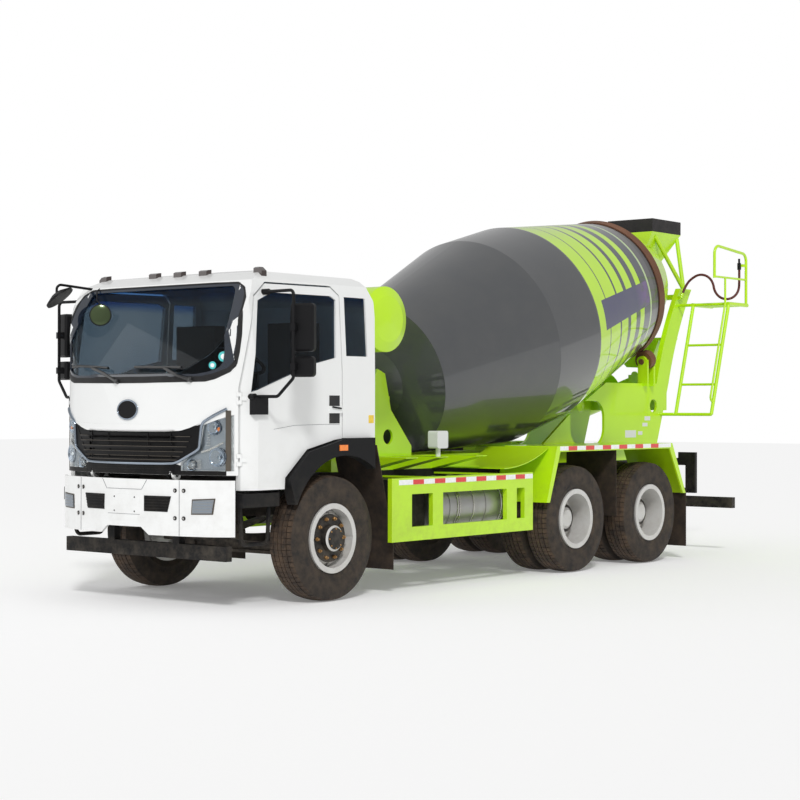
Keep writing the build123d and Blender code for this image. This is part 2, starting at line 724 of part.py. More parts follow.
def front_axle():
    z0 = AXLE_Z - BEAM_DROP - BEAM_HEIGHT / 2
    beam = box(-BEAM_HALF_DEPTH, BEAM_HALF_DEPTH, -KINGPIN_Y + KINGPIN_BOSS_R, KINGPIN_Y - KINGPIN_BOSS_R,
               z0, z0 + BEAM_HEIGHT)
    groove = box(BEAM_HALF_DEPTH / 2, BEAM_HALF_DEPTH + OVERRUN, -SPRING_Y - SPRING_WIDTH, SPRING_Y + SPRING_WIDTH,
                 z0 + BEAM_HEIGHT / 4, z0 + BEAM_HEIGHT * 3 / 4)
    under = box(-BEAM_HALF_DEPTH - OVERRUN, BEAM_HALF_DEPTH + OVERRUN, KINGPIN_Y - KINGPIN_BOSS_R - MOVING_GAP * 2,
                KINGPIN_Y, z0 - OVERRUN, AXLE_Z - KINGPIN_BOSS_HEIGHT / 2)
    beam = beam - groove - groove.mirror(Plane.YZ) - under - mirrored(under)
    boss = Solid.make_cylinder(KINGPIN_BOSS_R, KINGPIN_BOSS_HEIGHT,
                               Plane(origin=(0, KINGPIN_Y, AXLE_Z - KINGPIN_BOSS_HEIGHT / 2)))
    rise = side_plate(((-BEAM_HALF_DEPTH, z0), (BEAM_HALF_DEPTH, z0), (BEAM_HALF_DEPTH, AXLE_Z + BEAM_HALF_DEPTH),
                       (-BEAM_HALF_DEPTH, AXLE_Z + BEAM_HALF_DEPTH)),
                      KINGPIN_Y - KINGPIN_BOSS_R - BEAM_HEIGHT, KINGPIN_Y - KINGPIN_BOSS_R / 2)
    rise = rise & box(-BEAM_HALF_DEPTH, BEAM_HALF_DEPTH, 0, KINGPIN_Y,
                      z0, AXLE_Z + KINGPIN_BOSS_HEIGHT / 2)
    rise = rise - under
    bore = Solid.make_cylinder(KINGPIN_R + RUNNING_FIT, KINGPIN_BOSS_HEIGHT + OVERRUN * 2,
                               Plane(origin=(0, KINGPIN_Y, AXLE_Z - KINGPIN_BOSS_HEIGHT / 2 - OVERRUN)))
    end = rise + boss - bore
    axle = beam + end + mirrored(end)
    seat_z = z0 + BEAM_HEIGHT
    spring = leaf_spring(0, SPRING_Y, SPRING_WIDTH, FRONT_SPRING_HALF, seat_z, seat_z + SPRING_RISE, SPRING_STACK)
    eye_z = seat_z + SPRING_RISE
    for x in (FRONT_SPRING_HALF, -FRONT_SPRING_HALF):
        side = math.copysign(HANGER_THICKNESS, x)
        hanger = box(min(x, x + side), max(x, x + side), SPRING_Y - SPRING_WIDTH / 2, FRAME_HALF_WIDTH + SHEET * 2,
                     eye_z, FRAME_TOP_Z - RAIL_HEIGHT)
        spring = spring + hanger
    axle = axle + spring + mirrored(spring)
    return axle


def knuckle_left():
    gap = ROLLER_GAP
    low = AXLE_Z - KINGPIN_BOSS_HEIGHT / 2 - gap
    high = AXLE_Z + KINGPIN_BOSS_HEIGHT / 2 + gap
    ears = []
    for z0 in (low - KNUCKLE_EAR_HEIGHT, high):
        ear = Solid.make_cylinder(KINGPIN_BOSS_R, KNUCKLE_EAR_HEIGHT, Plane(origin=(0, KINGPIN_Y, z0)))
        arm = box(-KINGPIN_BOSS_R, KINGPIN_BOSS_R, KINGPIN_Y, KINGPIN_Y + KINGPIN_BOSS_R + KNUCKLE_PLATE,
                  z0, z0 + KNUCKLE_EAR_HEIGHT)
        ears.append(ear + arm)
    web_y = KINGPIN_Y + KINGPIN_BOSS_R + MOVING_GAP
    web = box(-KINGPIN_BOSS_R, KINGPIN_BOSS_R, web_y, web_y + KNUCKLE_PLATE, low - KNUCKLE_EAR_HEIGHT,
              high + KNUCKLE_EAR_HEIGHT)
    pin = Solid.make_cylinder(KINGPIN_R, high - low + KNUCKLE_EAR_HEIGHT * 2,
                              Plane(origin=(0, KINGPIN_Y, low - KNUCKLE_EAR_HEIGHT)))
    stub = rod_y(0, AXLE_Z, STUB_R, web_y, STUB_END_Y)
    return ears[0] + ears[1] + web + pin + stub


def drive_axles():
    solid = None
    for x in (-WHEELBASE, REAR_AXLE_X):
        tube_half = TWIN_INNER_Y - TYRE_WIDTH / 2 - MOVING_GAP
        tube = rod_y(x, AXLE_Z, AXLE_TUBE_R, -tube_half, tube_half)
        spindle = rod_y(x, AXLE_Z, SPINDLE_R, -SPINDLE_END_Y, SPINDLE_END_Y)
        ball = Pos(x, 0, AXLE_Z) * Sphere(DIFF_R)
        ball = ball & box(x - DIFF_R, x + DIFF_R, -DIFF_LENGTH / 2, DIFF_LENGTH / 2, 0, AXLE_Z + DIFF_R)
        nose = rod((x, 0, PROPSHAFT_Z), (x + DIFF_R + OVERRUN, 0, PROPSHAFT_Z), PROPSHAFT_R * 2)
        axle = tube + spindle + ball + nose
        solid = axle if solid is None else solid + axle
    mid = BOGIE_X
    shaft = rod((REAR_AXLE_X + DIFF_R, 0, PROPSHAFT_Z), (ENGINE_REAR_X + OVERRUN, 0, PROPSHAFT_Z),
                PROPSHAFT_R)
    solid = solid + (shaft - engine_block())
    seat_z = AXLE_Z + AXLE_TUBE_R
    spring = leaf_spring(mid, BOGIE_SPRING_Y, BOGIE_SPRING_WIDTH, BOGIE_SPACING / 2 + AXLE_TUBE_R,
                         seat_z + SPRING_RISE / 2, seat_z - SHEET * 3, BOGIE_SPRING_STACK)
    trunnion = rod_y(mid, TRUNNION_Z, TRUNNION_R, FRAME_HALF_WIDTH - RAIL_FLANGE,
                     BOGIE_SPRING_Y + BOGIE_SPRING_WIDTH / 2)
    bracket = side_plate(((mid - TRUNNION_R * 2, FRAME_TOP_Z - RAIL_HEIGHT), (mid + TRUNNION_R * 2, FRAME_TOP_Z - RAIL_HEIGHT),
                          (mid + TRUNNION_R, TRUNNION_Z), (mid - TRUNNION_R, TRUNNION_Z)),
                         FRAME_HALF_WIDTH - RAIL_FLANGE, FRAME_HALF_WIDTH)
    side = spring + trunnion + bracket
    solid = solid + side + mirrored(side)
    return solid


# Wheels

def tyre(x, y_centre):
    half = TYRE_WIDTH / 2
    wall_r = TYRE_R - RIM_LIP_R
    points = [(half * BEAD_SHARE, RIM_SEAT_R), (half * BEAD_SHARE, RIM_LIP_R),
              (half, RIM_LIP_R + wall_r * 0.45), (half * 0.98, RIM_LIP_R + wall_r * 0.75),
              (half * 0.86, TYRE_R - wall_r * 0.06), (half * 0.4, TYRE_R)]
    points = points + [(-y, r) for y, r in reversed(points)]
    return turned_profile(points, y_centre, x, AXLE_Z)


def front_rim():
    """The left front rim, with its dish, hub cap and brake drum."""
    half = TYRE_WIDTH / 2 * BEAD_SHARE
    lip = half + RIM_LIP_WIDTH
    disc = FRONT_DISC_OUTSET
    points = [(lip, RIM_LIP_R), (half, RIM_LIP_R), (half, RIM_SEAT_R), (-half, RIM_SEAT_R), (-half, RIM_LIP_R),
              (-lip, RIM_LIP_R), (-lip, RIM_SEAT_R - RIM_WALL), (disc - FRONT_DISC_DISH - DISC_THICKNESS, RIM_SEAT_R - RIM_WALL),
              (disc - DISC_THICKNESS, FLANGE_R), (disc - DISC_THICKNESS, BRAKE_DRUM_R - OVERRUN),
              (disc - FRONT_DISC_DISH - DISC_THICKNESS * 2, BRAKE_DRUM_R - OVERRUN),
              (disc - FRONT_DISC_DISH - DISC_THICKNESS * 2, BRAKE_DRUM_R),
              (-half + DISC_THICKNESS, BRAKE_DRUM_R), (-half + DISC_THICKNESS, BRAKE_DRUM_R - OVERRUN / 2),
              (-half + OVERRUN, BRAKE_DRUM_R - OVERRUN), (-half + OVERRUN, STUB_R + RUNNING_FIT),
              (disc, STUB_R + RUNNING_FIT), (disc, 0), (disc + HUB_CAP_HEIGHT, 0), (disc + HUB_CAP_HEIGHT, HUB_CAP_R * 0.8),
              (disc + HUB_CAP_HEIGHT * 0.8, HUB_CAP_R), (disc, HUB_CAP_R),
              (disc, FLANGE_R), (disc - FRONT_DISC_DISH, RIM_SEAT_R - RIM_WALL), (lip, RIM_SEAT_R - RIM_WALL)]
    rim = turned_profile(points, FRONT_WHEEL_Y, 0, AXLE_Z)
    for n in range(HAND_HOLES):
        angle = 2 * math.pi * n / HAND_HOLES
        x = HAND_HOLE_PITCH_R * math.cos(angle)
        z = AXLE_Z + HAND_HOLE_PITCH_R * math.sin(angle)
        rim = rim - rod_y(x, z, HAND_HOLE_R, FRONT_WHEEL_Y + disc - FRONT_DISC_DISH - DISC_THICKNESS * 3,
                          FRONT_WHEEL_Y + disc + OVERRUN)
    return rim


def twin_rim(x):
    """The left pair of rims of a drive axle, bolted back to back on one hub."""
    half = TYRE_WIDTH / 2 * BEAD_SHARE
    lip = half + RIM_LIP_WIDTH
    mid = (TWIN_OUTER_Y - TWIN_INNER_Y) / 2
    well = RIM_SEAT_R - RIM_WALL
    outer = mid
    inner = -mid
    hub_end = outer - half + REAR_HUB_OUTSET
    points = [(outer + lip, RIM_LIP_R), (outer + half, RIM_LIP_R), (outer + half, RIM_SEAT_R),
              (outer - half, RIM_SEAT_R), (outer - half, RIM_LIP_R), (outer - lip, RIM_LIP_R),
              (outer - lip, well), (DISC_THICKNESS, FLANGE_R), (-DISC_THICKNESS, FLANGE_R), (inner + lip, well),
              (inner + lip, RIM_LIP_R), (inner + half, RIM_LIP_R), (inner + half, RIM_SEAT_R),
              (inner - half, RIM_SEAT_R), (inner - half, RIM_LIP_R), (inner - lip, RIM_LIP_R), (inner - lip, well),
              (inner + lip - DISC_THICKNESS * 2, well), (-DISC_THICKNESS * 3, FLANGE_R),
              (-DISC_THICKNESS * 3, SPINDLE_R + RUNNING_FIT), (SPINDLE_END_Y - TWIN_INNER_Y - mid + RUNNING_FIT, SPINDLE_R + RUNNING_FIT),
              (SPINDLE_END_Y - TWIN_INNER_Y - mid + RUNNING_FIT, 0), (hub_end + DISC_THICKNESS, 0), (hub_end + DISC_THICKNESS, REAR_HUB_R * 0.6),
              (hub_end, REAR_HUB_R * 0.75), (hub_end - DISC_THICKNESS * 2, REAR_HUB_R),
              (DISC_THICKNESS * 3, REAR_HUB_R),
              (DISC_THICKNESS * 3, FLANGE_R), (outer - lip + DISC_THICKNESS * 2, well), (outer + lip, well)]
    return turned_profile(points, TWIN_INNER_Y + mid, x, AXLE_Z)


# Cab

def cab_outline_side():
    return placed(CAB_SIDE_SHARES, CAB_REAR_X, CAB_FRONT_X, SKIRT_Z, CAB_TOP_Z)


def plan_face(inset, z):
    """The cab's plan outline at height z, pulled in by inset."""
    half = CAB_HALF_WIDTH
    nose = ThreePointArc((NOSE_CORNER_X, -NOSE_CORNER_Y), (CAB_FRONT_X, 0), (NOSE_CORNER_X, NOSE_CORNER_Y))
    left = ThreePointArc((NOSE_CORNER_X, NOSE_CORNER_Y), (NOSE_BEND_X, NOSE_BEND_Y), (NOSE_SIDE_X, half))
    right = ThreePointArc((NOSE_CORNER_X, -NOSE_CORNER_Y), (NOSE_BEND_X, -NOSE_BEND_Y), (NOSE_SIDE_X, -half))
    back = Polyline((NOSE_SIDE_X, half), (CAB_REAR_X + SKIN, half), (CAB_REAR_X, half - SKIN),
                    (CAB_REAR_X, SKIN - half), (CAB_REAR_X + SKIN, -half), (NOSE_SIDE_X, -half))
    face = make_face([nose, left, back, right])
    if inset:
        face = offset(face, amount=-inset, kind=Kind.INTERSECTION)
    return Pos(0, 0, z) * face


def cab_block(inset):
    """The cab's outer form, pulled in all round by inset."""
    plan = extrude(plan_face(inset, SKIRT_Z - OVERRUN), amount=CAB_TOP_Z - SKIRT_Z + OVERRUN * 2)
    side = make_face(Polyline(*cab_outline_side(), close=True))
    half_front = placed(CAB_FRONT_SHARES, 0, CAB_HALF_WIDTH, SKIRT_Z, CAB_TOP_Z)
    whole = half_front + [(-y, z) for y, z in reversed(half_front[:-1])]
    front = make_face(Polyline(*whole, close=True))
    if inset:
        side = offset(side, amount=-inset, kind=Kind.INTERSECTION)
        front = offset(front, amount=-inset, kind=Kind.INTERSECTION)
    side = extrude(Plane.XZ * side, amount=CAB_HALF_WIDTH + OVERRUN, both=True)
    front = extrude(Plane.YZ * front, amount=CAB_FRONT_X - CAB_REAR_X + OVERRUN, both=True)
    return plan & side & front


def door_outline(gap):
    points = placed(DOOR_SHARES, DOOR_REAR_X, DOOR_FRONT_X, DOOR_BOTTOM_Z, DOOR_TOP_Z)
    face = make_face(Polyline(*points, close=True))
    if gap:
        face = offset(face, amount=gap, kind=Kind.INTERSECTION)
    return face


def side_prism(face, y0, y1):
    """Extrudes an (x, z) face between two Y values."""
    solid = extrude(Plane.XZ * face, amount=(y1 - y0))
    box_now = solid.bounding_box()
    return Pos(0, y0 - box_now.min.Y, 0) * solid


def door_window_face():
    points = placed(DOOR_WINDOW_SHARES, DOOR_REAR_X, DOOR_FRONT_X, DOOR_BOTTOM_Z, DOOR_TOP_Z)
    return make_face(Polyline(*points, close=True))


def quarter_window():
    return box(QUARTER_REAR_X, QUARTER_FRONT_X, CAB_HALF_WIDTH - SKIN * 5, CAB_HALF_WIDTH + OVERRUN,
               QUARTER_BOTTOM_Z, QUARTER_TOP_Z)


def screen_prism():
    half = ((SCREEN_BASE_Y, SCREEN_BASE_Z), (SCREEN_SIDE_Y, SCREEN_SIDE_Z), (SCREEN_TOP_Y, SCREEN_TOP_Z))
    points = list(half) + [(-y, z) for y, z in reversed(half)]
    return front_plate(points, SCREEN_BACK_X, CAB_FRONT_X + OVERRUN)


def grille_prism(depth):
    half = ((GRILLE_BOTTOM_Y, GRILLE_BOTTOM_Z), (GRILLE_TOP_Y, GRILLE_TOP_Z))
    points = list(half) + [(-y, z) for y, z in reversed(half)]
    return front_plate(points, CAB_FRONT_X - depth, CAB_FRONT_X + OVERRUN)


def lamp_prism():
    points = ((LAMP_INNER_Y, LAMP_BOTTOM_Z), (CAB_HALF_WIDTH + OVERRUN, LAMP_BOTTOM_Z),
              (CAB_HALF_WIDTH + OVERRUN, LAMP_TOP_Z), (GRILLE_TOP_Y + GRILLE_DEPTH, GRILLE_TOP_Z),
              (GRILLE_TOP_Y, (GRILLE_TOP_Z + GRILLE_BOTTOM_Z) / 2), (LAMP_INNER_Y, GRILLE_BOTTOM_Z))
    return front_plate(points, LAMP_BACK_X + OVERRUN * 2, CAB_FRONT_X + OVERRUN)


def tunnel(grow):
    """The engine's hump in the floor, from the step forwards."""
    half = ENGINE_HALF_WIDTH + TUNNEL_ROOM + grow
    return box(FLOOR_STEP_X, ENGINE_FRONT_X + TUNNEL_ROOM + grow, -half, half, SKIRT_Z - OVERRUN, CAB_FLOOR_REAR_Z + grow)


def under_cab_space():
    """All that lies below the cab's stepped floor."""
    return tunnel(0) + side_plate(((CAB_FRONT_X + OVERRUN, SKIRT_Z - OVERRUN), (CAB_FRONT_X + OVERRUN, CAB_FLOOR_FRONT_Z),
                       (FLOOR_STEP_X + OVERRUN, CAB_FLOOR_FRONT_Z), (FLOOR_STEP_X, CAB_FLOOR_REAR_Z),
                       (CAB_REAR_X - OVERRUN, CAB_FLOOR_REAR_Z), (CAB_REAR_X - OVERRUN, SKIRT_Z - OVERRUN)),
                      -CAB_HALF_WIDTH - OVERRUN, CAB_HALF_WIDTH + OVERRUN)


def inner_floor_space():
    """The same outline raised by the floor's thickness."""
    return tunnel(SKIN) + Pos(0, 0, SKIN) * side_plate(
        ((CAB_FRONT_X + OVERRUN, SKIRT_Z - OVERRUN * 2), (CAB_FRONT_X + OVERRUN, CAB_FLOOR_FRONT_Z),
         (FLOOR_STEP_X + OVERRUN + SKIN, CAB_FLOOR_FRONT_Z), (FLOOR_STEP_X + SKIN, CAB_FLOOR_REAR_Z),
         (CAB_REAR_X - OVERRUN, CAB_FLOOR_REAR_Z), (CAB_REAR_X - OVERRUN, SKIRT_Z - OVERRUN * 2)),
        -CAB_HALF_WIDTH - OVERRUN, CAB_HALF_WIDTH + OVERRUN)


def cab_body(outer, inner):
    cabin = inner - inner_floor_space()
    body = outer - under_cab_space() - cabin
    door_hole = side_prism(door_outline(DOOR_GAP), CAB_HALF_WIDTH - SKIN * 4, CAB_HALF_WIDTH + OVERRUN)
    body = body - door_hole - mirrored(door_hole)
    window = quarter_window()
    body = body - window - mirrored(window)
    body = body - screen_prism()
    grille_gap = grille_prism(CAB_FRONT_X - NOSE_CORNER_X + GRILLE_DEPTH)
    grille_gap = grille_gap - cab_block(GRILLE_DEPTH)
    body = body - grille_gap
    lamps = lamp_prism() - cab_block(GRILLE_DEPTH)
    body = body - lamps - mirrored(lamps)
    ear = rod_y(CAB_PIVOT_X, CAB_PIVOT_Z, PIVOT_EAR_R, PIVOT_EAR_Y, PIVOT_EAR_Y + PIVOT_EAR_THICKNESS)
    ear = ear + box(CAB_PIVOT_X - PIVOT_EAR_R, CAB_PIVOT_X, PIVOT_EAR_Y, PIVOT_EAR_Y + PIVOT_EAR_THICKNESS,
                    CAB_PIVOT_Z, CAB_PIVOT_Z + PIVOT_EAR_R)
    ear = ear - rod_y(CAB_PIVOT_X, CAB_PIVOT_Z, PIVOT_PIN_R + PIVOT_FIT, PIVOT_EAR_Y - OVERRUN,
                      PIVOT_EAR_Y + PIVOT_EAR_THICKNESS + OVERRUN)
    hole = rod_y(CAB_PIVOT_X, CAB_PIVOT_Z, PIVOT_EAR_R + MOVING_GAP, FRAME_HALF_WIDTH - PIVOT_EAR_THICKNESS - MOVING_GAP,
                 PIVOT_EAR_Y)
    body = body - hole - mirrored(hole)
    bore = rod_y(CAB_PIVOT_X, CAB_PIVOT_Z, PIVOT_PIN_R + PIVOT_FIT, PIVOT_EAR_Y, PIVOT_EAR_Y + PIVOT_EAR_THICKNESS)
    body = body - bore - mirrored(bore)
    room = hinge_room_on_cab()
    leaf = hinge_on_cab()
    body = body - room - mirrored(room)
    return body + ear + mirrored(ear) + leaf + mirrored(leaf)


def cab_glass():
    layer = cab_block(GLASS_INSET) - cab_block(GLASS_INSET + GLASS_THICKNESS)
    screen = layer & screen_prism()
    window = layer & quarter_window()
    return [screen, window, mirrored(window)]


def grille():
    skin = cab_block(0) - cab_block(GRILLE_DEPTH)
    skin = skin & grille_prism(CAB_FRONT_X - NOSE_CORNER_X + GRILLE_DEPTH)
    pitch = (GRILLE_TOP_Z - GRILLE_BOTTOM_Z) / (SLATS + 1)
    back = cab_block(GRILLE_DEPTH / 2)
    for n in range(SLATS):
        z = GRILLE_BOTTOM_Z + pitch * (n + 1)
        slot = box(NOSE_CORNER_X - OVERRUN, CAB_FRONT_X + OVERRUN, -GRILLE_BOTTOM_Y, GRILLE_BOTTOM_Y,
                   z - pitch * SLAT_SHARE / 2, z + pitch * SLAT_SHARE / 2)
        skin = skin - (slot - back)
    return skin


def headlamp():
    return (cab_block(0) - cab_block(GRILLE_DEPTH)) & lamp_prism()


def hinge_round(z0, z1, radius):
    return Solid.make_cylinder(radius, z1 - z0, Plane(origin=(DOOR_FRONT_X, HINGE_Y, z0)))


def hinge_strap(z0, z1, way):
    """The leaf from a knuckle back along the skin; way is 1 towards the pillar, -1 towards the door."""
    lean = -way
    x = DOOR_FRONT_X
    step = HINGE_BARREL_R
    points = ((x, HINGE_Y + step), (x + way * step * 3, HINGE_Y + step + lean * step * 2.4),
              (x + way * step * 3, HINGE_Y + lean * step * 2.4 - step), (x + way * step * 0.8, HINGE_Y - step * 2),
              (x + way * step * 0.8, HINGE_Y - step / 2))
    return plan_plate(points, z0, z1)


def hinge_on_cab():
    """Both left hinges' fixed knuckles, each pair on one pin."""
    leaf = None
    for z in HINGE_Z:
        pin = hinge_round(z, z + HINGE_KNUCKLE * 3, HINGE_PIN_R)
        leaf = pin if leaf is None else leaf + pin
        for z0 in (z, z + HINGE_KNUCKLE * 2):
            leaf = leaf + hinge_round(z0, z0 + HINGE_KNUCKLE, HINGE_BARREL_R) + hinge_strap(z0, z0 + HINGE_KNUCKLE, 1)
    return leaf


def hinge_room_on_door():
    """What the fixed knuckles need cut out of the door's front edge."""
    room = None
    for z in HINGE_Z:
        bore = hinge_round(z, z + HINGE_KNUCKLE * 3, HINGE_PIN_R + RUNNING_FIT)
        room = bore if room is None else room + bore
        for z0 in (z, z + HINGE_KNUCKLE * 2):
            part = hinge_round(z0 - HINGE_RELIEF, z0 + HINGE_KNUCKLE + HINGE_RELIEF, HINGE_BARREL_R + HINGE_RELIEF)
            room = room + part
    return room


def hinge_on_door():
    leaf = None
    for z in HINGE_Z:
        z0 = z + HINGE_KNUCKLE + RUNNING_FIT
        z1 = z + HINGE_KNUCKLE * 2 - RUNNING_FIT
        part = hinge_round(z0, z1, HINGE_BARREL_R) + hinge_strap(z0, z1, -1)
        part = part - hinge_round(z0 - OVERRUN, z1 + OVERRUN, HINGE_PIN_R + RUNNING_FIT)
        leaf = part if leaf is None else leaf + part
    return leaf


def hinge_room_on_cab():
    room = None
    for z in HINGE_Z:
        part = hinge_round(z + HINGE_KNUCKLE, z + HINGE_KNUCKLE * 2, HINGE_BARREL_R + HINGE_RELIEF)
        room = part if room is None else room + part
    return room


def door_left(outer, inner):
    skin = outer - inner
    door = skin & side_prism(door_outline(0), CAB_HALF_WIDTH - SKIN * 4, CAB_HALF_WIDTH + OVERRUN)
    window = side_prism(door_window_face(), CAB_HALF_WIDTH - SKIN * 5, CAB_HALF_WIDTH + OVERRUN * 2)
    door = door - window
    handle = box(HANDLE_X - HANDLE_LENGTH / 2, HANDLE_X + HANDLE_LENGTH / 2, CAB_HALF_WIDTH - SKIN / 2,
                 CAB_HALF_WIDTH + HANDLE_OUTSET, HANDLE_Z - HANDLE_HEIGHT / 2, HANDLE_Z + HANDLE_HEIGHT / 2)
    return door - hinge_room_on_door() + handle + hinge_on_door()


def door_glass_left():
    layer = cab_block(GLASS_INSET) - cab_block(GLASS_INSET + GLASS_THICKNESS)
    return layer & side_prism(door_window_face(), CAB_HALF_WIDTH - SKIN * 5, CAB_HALF_WIDTH + OVERRUN * 2)


def cab_interior():
    pieces = []
    for y in (SEAT_Y, -SEAT_Y):
        cushion = box(SEAT_X, SEAT_X + SEAT_DEPTH, y - SEAT_WIDTH / 2, y + SEAT_WIDTH / 2,
                      CAB_FLOOR_REAR_Z + SKIN, SEAT_Z)
        back = box(SEAT_X - SEAT_THICKNESS, SEAT_X, y - SEAT_WIDTH / 2, y + SEAT_WIDTH / 2,
                   CAB_FLOOR_REAR_Z + SKIN, SEAT_Z + SEAT_BACK_HEIGHT)
        pieces.append(cushion + back)
    dash = box(DASH_X - DASH_DEPTH, DASH_X, -DASH_HALF_WIDTH, DASH_HALF_WIDTH, DASH_BOTTOM_Z, DASH_TOP_Z)
    tray = box(DASH_X - OVERRUN, CAB_FRONT_X, -DASH_HALF_WIDTH, DASH_HALF_WIDTH, DASH_BOTTOM_Z, SCREEN_BASE_Z - SKIN)
    dash = dash + (tray & cab_block(SKIN))
    plane = Plane(origin=(STEER_CENTRE_X, SEAT_Y, STEER_CENTRE_Z),
                  z_dir=(-math.cos(math.radians(WHEEL_RAKE_DEG)), 0, math.sin(math.radians(WHEEL_RAKE_DEG))))
    ring = plane.location * Torus(WHEEL_RING_R, WHEEL_BAR_R)
    spoke = plane.location * Box(WHEEL_BAR_R * 2, WHEEL_RING_R * 2, WHEEL_BAR_R)
    column = rod((STEER_CENTRE_X, SEAT_Y, STEER_CENTRE_Z), (DASH_X - DASH_DEPTH / 2, SEAT_Y, DASH_TOP_Z - OVERRUN),
                 WHEEL_BAR_R * 2)
    dash = dash + ring + spoke + column
    pieces.append(dash)
    return pieces


def cab_trim():
    """Roof marker lamps and the two wipers."""
    pieces = []
    for y in ROOF_LAMP_Y:
        lamp = box(SCREEN_BACK_X - ROOF_LAMP_LENGTH / 2, SCREEN_BACK_X + ROOF_LAMP_LENGTH / 2,
                   y - ROOF_LAMP_WIDTH / 2, y + ROOF_LAMP_WIDTH / 2,
                   CAB_TOP_Z - ROOF_LAMP_HEIGHT * 5, CAB_TOP_Z + ROOF_LAMP_HEIGHT / 2)
        lamp = lamp & (cab_block(-ROOF_LAMP_HEIGHT) - cab_block(0))
        pieces.append(lamp)
    return pieces


def wheel_arches():
    """The flares round the front wheels, each with its liner under the cab floor."""
    outline = ((ARCH_TOE_X, ARCH_TOE_Z), (ARCH_FRONT_X, ARCH_FRONT_Z), (ARCH_SHOULDER_X, ARCH_SHOULDER_Z),
               (ARCH_CREST_X, ARCH_CREST_Z), (DOOR_REAR_X, ARCH_TOP_Z), (ARCH_REAR_X, ARCH_TOP_Z), (ARCH_REAR_X, ARCH_TOE_Z))
    flare = side_plate(outline, ARCH_INNER_Y, ARCH_SIDE_Y)
    flare = flare - rod_y(ARCH_CENTRE_X, ARCH_CENTRE_Z, ARCH_R, ARCH_INNER_Y - OVERRUN, ARCH_SIDE_Y + OVERRUN)
    flare = flare - side_prism(door_outline(MOVING_GAP), ARCH_INNER_Y - OVERRUN, ARCH_SIDE_Y + OVERRUN)
    upper = placed(LINER_SHARES, ARCH_REAR_X, LINER_FRONT_X, ARCH_TOE_Z, LINER_TOP_Z)
    lower = [(x, z - LINER_THICKNESS) for x, z in reversed(upper)]
    liner = side_plate(upper + lower, LINER_INNER_Y, ARCH_INNER_Y)
    return both_sides(flare + liner)


def mirror_head(z0, z1):
    """One crowned housing with its clamp, drawn behind a bar that stands at the origin."""
    y0 = -MIRROR_WIDTH * MIRROR_BAR_SHARE
    head = box(-MIRROR_SETBACK - MIRROR_THICKNESS, -MIRROR_SETBACK, y0, y0 + MIRROR_WIDTH, z0, z1)
    head = fillet(head.edges().filter_by(Axis.X), MIRROR_CORNER_R)
    head = chamfer(head.faces().sort_by(Axis.X)[-1].edges(), MIRROR_CROWN)
    mid = (z0 + z1) / 2
    clamp = box(-MIRROR_SETBACK - MIRROR_CROWN, CLAMP_HALF, -CLAMP_HALF, CLAMP_HALF, mid - CLAMP_HEIGHT / 2,
                mid + CLAMP_HEIGHT / 2)
    return head + clamp


def mirror_left():
    """Two mirror heads on one bent bar, turned towards the driver; both feet stand on the door."""
    heads = mirror_head(MIRROR_BOTTOM_Z, MIRROR_TOP_Z) + mirror_head(WIDE_BOTTOM_Z, WIDE_TOP_Z)
    heads = Pos(MIRROR_BAR_X, MIRROR_BAR_Y, 0) * Rot(0, 0, MIRROR_TURN_DEG) * heads
    wall = HINGE_Y - SKIN
    outer = CAB_HALF_WIDTH + MIRROR_FOOT_OUTSET
    bar = pipe(((MIRROR_TOP_FOOT_X, wall, MIRROR_TOP_FOOT_Z), (MIRROR_BAR_X, MIRROR_BAR_Y, MIRROR_TOP_FOOT_Z),
                (MIRROR_BAR_X, MIRROR_BAR_Y, MIRROR_LOW_BEND_Z),
                (MIRROR_ELBOW_X, CAB_HALF_WIDTH + MIRROR_ELBOW_OUTSET, MIRROR_LOW_FOOT_Z),
                (MIRROR_LOW_FOOT_X, wall, MIRROR_LOW_FOOT_Z)), MIRROR_BEND_R, MIRROR_ARM_R)
    top_foot = rod((MIRROR_TOP_FOOT_X, wall, MIRROR_TOP_FOOT_Z), (MIRROR_TOP_FOOT_X, outer, MIRROR_TOP_FOOT_Z),
                   MIRROR_FOOT_R)
    low_foot = rod((MIRROR_LOW_FOOT_X, wall, MIRROR_LOW_FOOT_Z), (MIRROR_LOW_FOOT_X, outer, MIRROR_LOW_FOOT_Z),
                   MIRROR_FOOT_R)
    cover = box(FOOT_BOX_REAR_X, FOOT_BOX_FRONT_X, wall, CAB_HALF_WIDTH + FOOT_BOX_OUTSET, FOOT_BOX_BOTTOM_Z,
                FOOT_BOX_TOP_Z)
    return bar + heads + top_foot + low_foot + cover - cab_block(0)


def kerb_mirror():
    """The round mirror over the right-hand kerb, on an arm from the roof's corner."""
    centre = Vector(KERB_MIRROR_X, KERB_MIRROR_INSET - CAB_HALF_WIDTH, KERB_MIRROR_Z)
    glass = Vector(*KERB_GLASS_SHARES).normalized()
    rim = Solid.make_cylinder(KERB_MIRROR_R, KERB_MIRROR_RIM, Plane(origin=centre, z_dir=glass))
    bowl = Solid.make_cone(KERB_MIRROR_R, KERB_MIRROR_R * KERB_BOWL_SHARE, KERB_MIRROR_BOWL,
                           Plane(origin=centre, z_dir=-glass))
    neck = centre - glass * KERB_MIRROR_BOWL
    elbow = (neck.X, neck.Y, KERB_ELBOW_Z)
    root = (KERB_ROOT_X, KERB_ROOT_INSET - CAB_HALF_WIDTH, KERB_ROOT_Z)
    arm = pipe(((neck.X, neck.Y, neck.Z - KERB_MIRROR_RIM), elbow, root), MIRROR_BEND_R, KERB_ARM_R)
    return rim + bowl + arm - cab_block(0)


# Bumper, steps and guards

def bumper_face(outset):
    """The bumper's plan outline, a fixed step outside the cab's nose."""
    face = offset(plan_face(0, 0), amount=outset, kind=Kind.INTERSECTION)
    return face


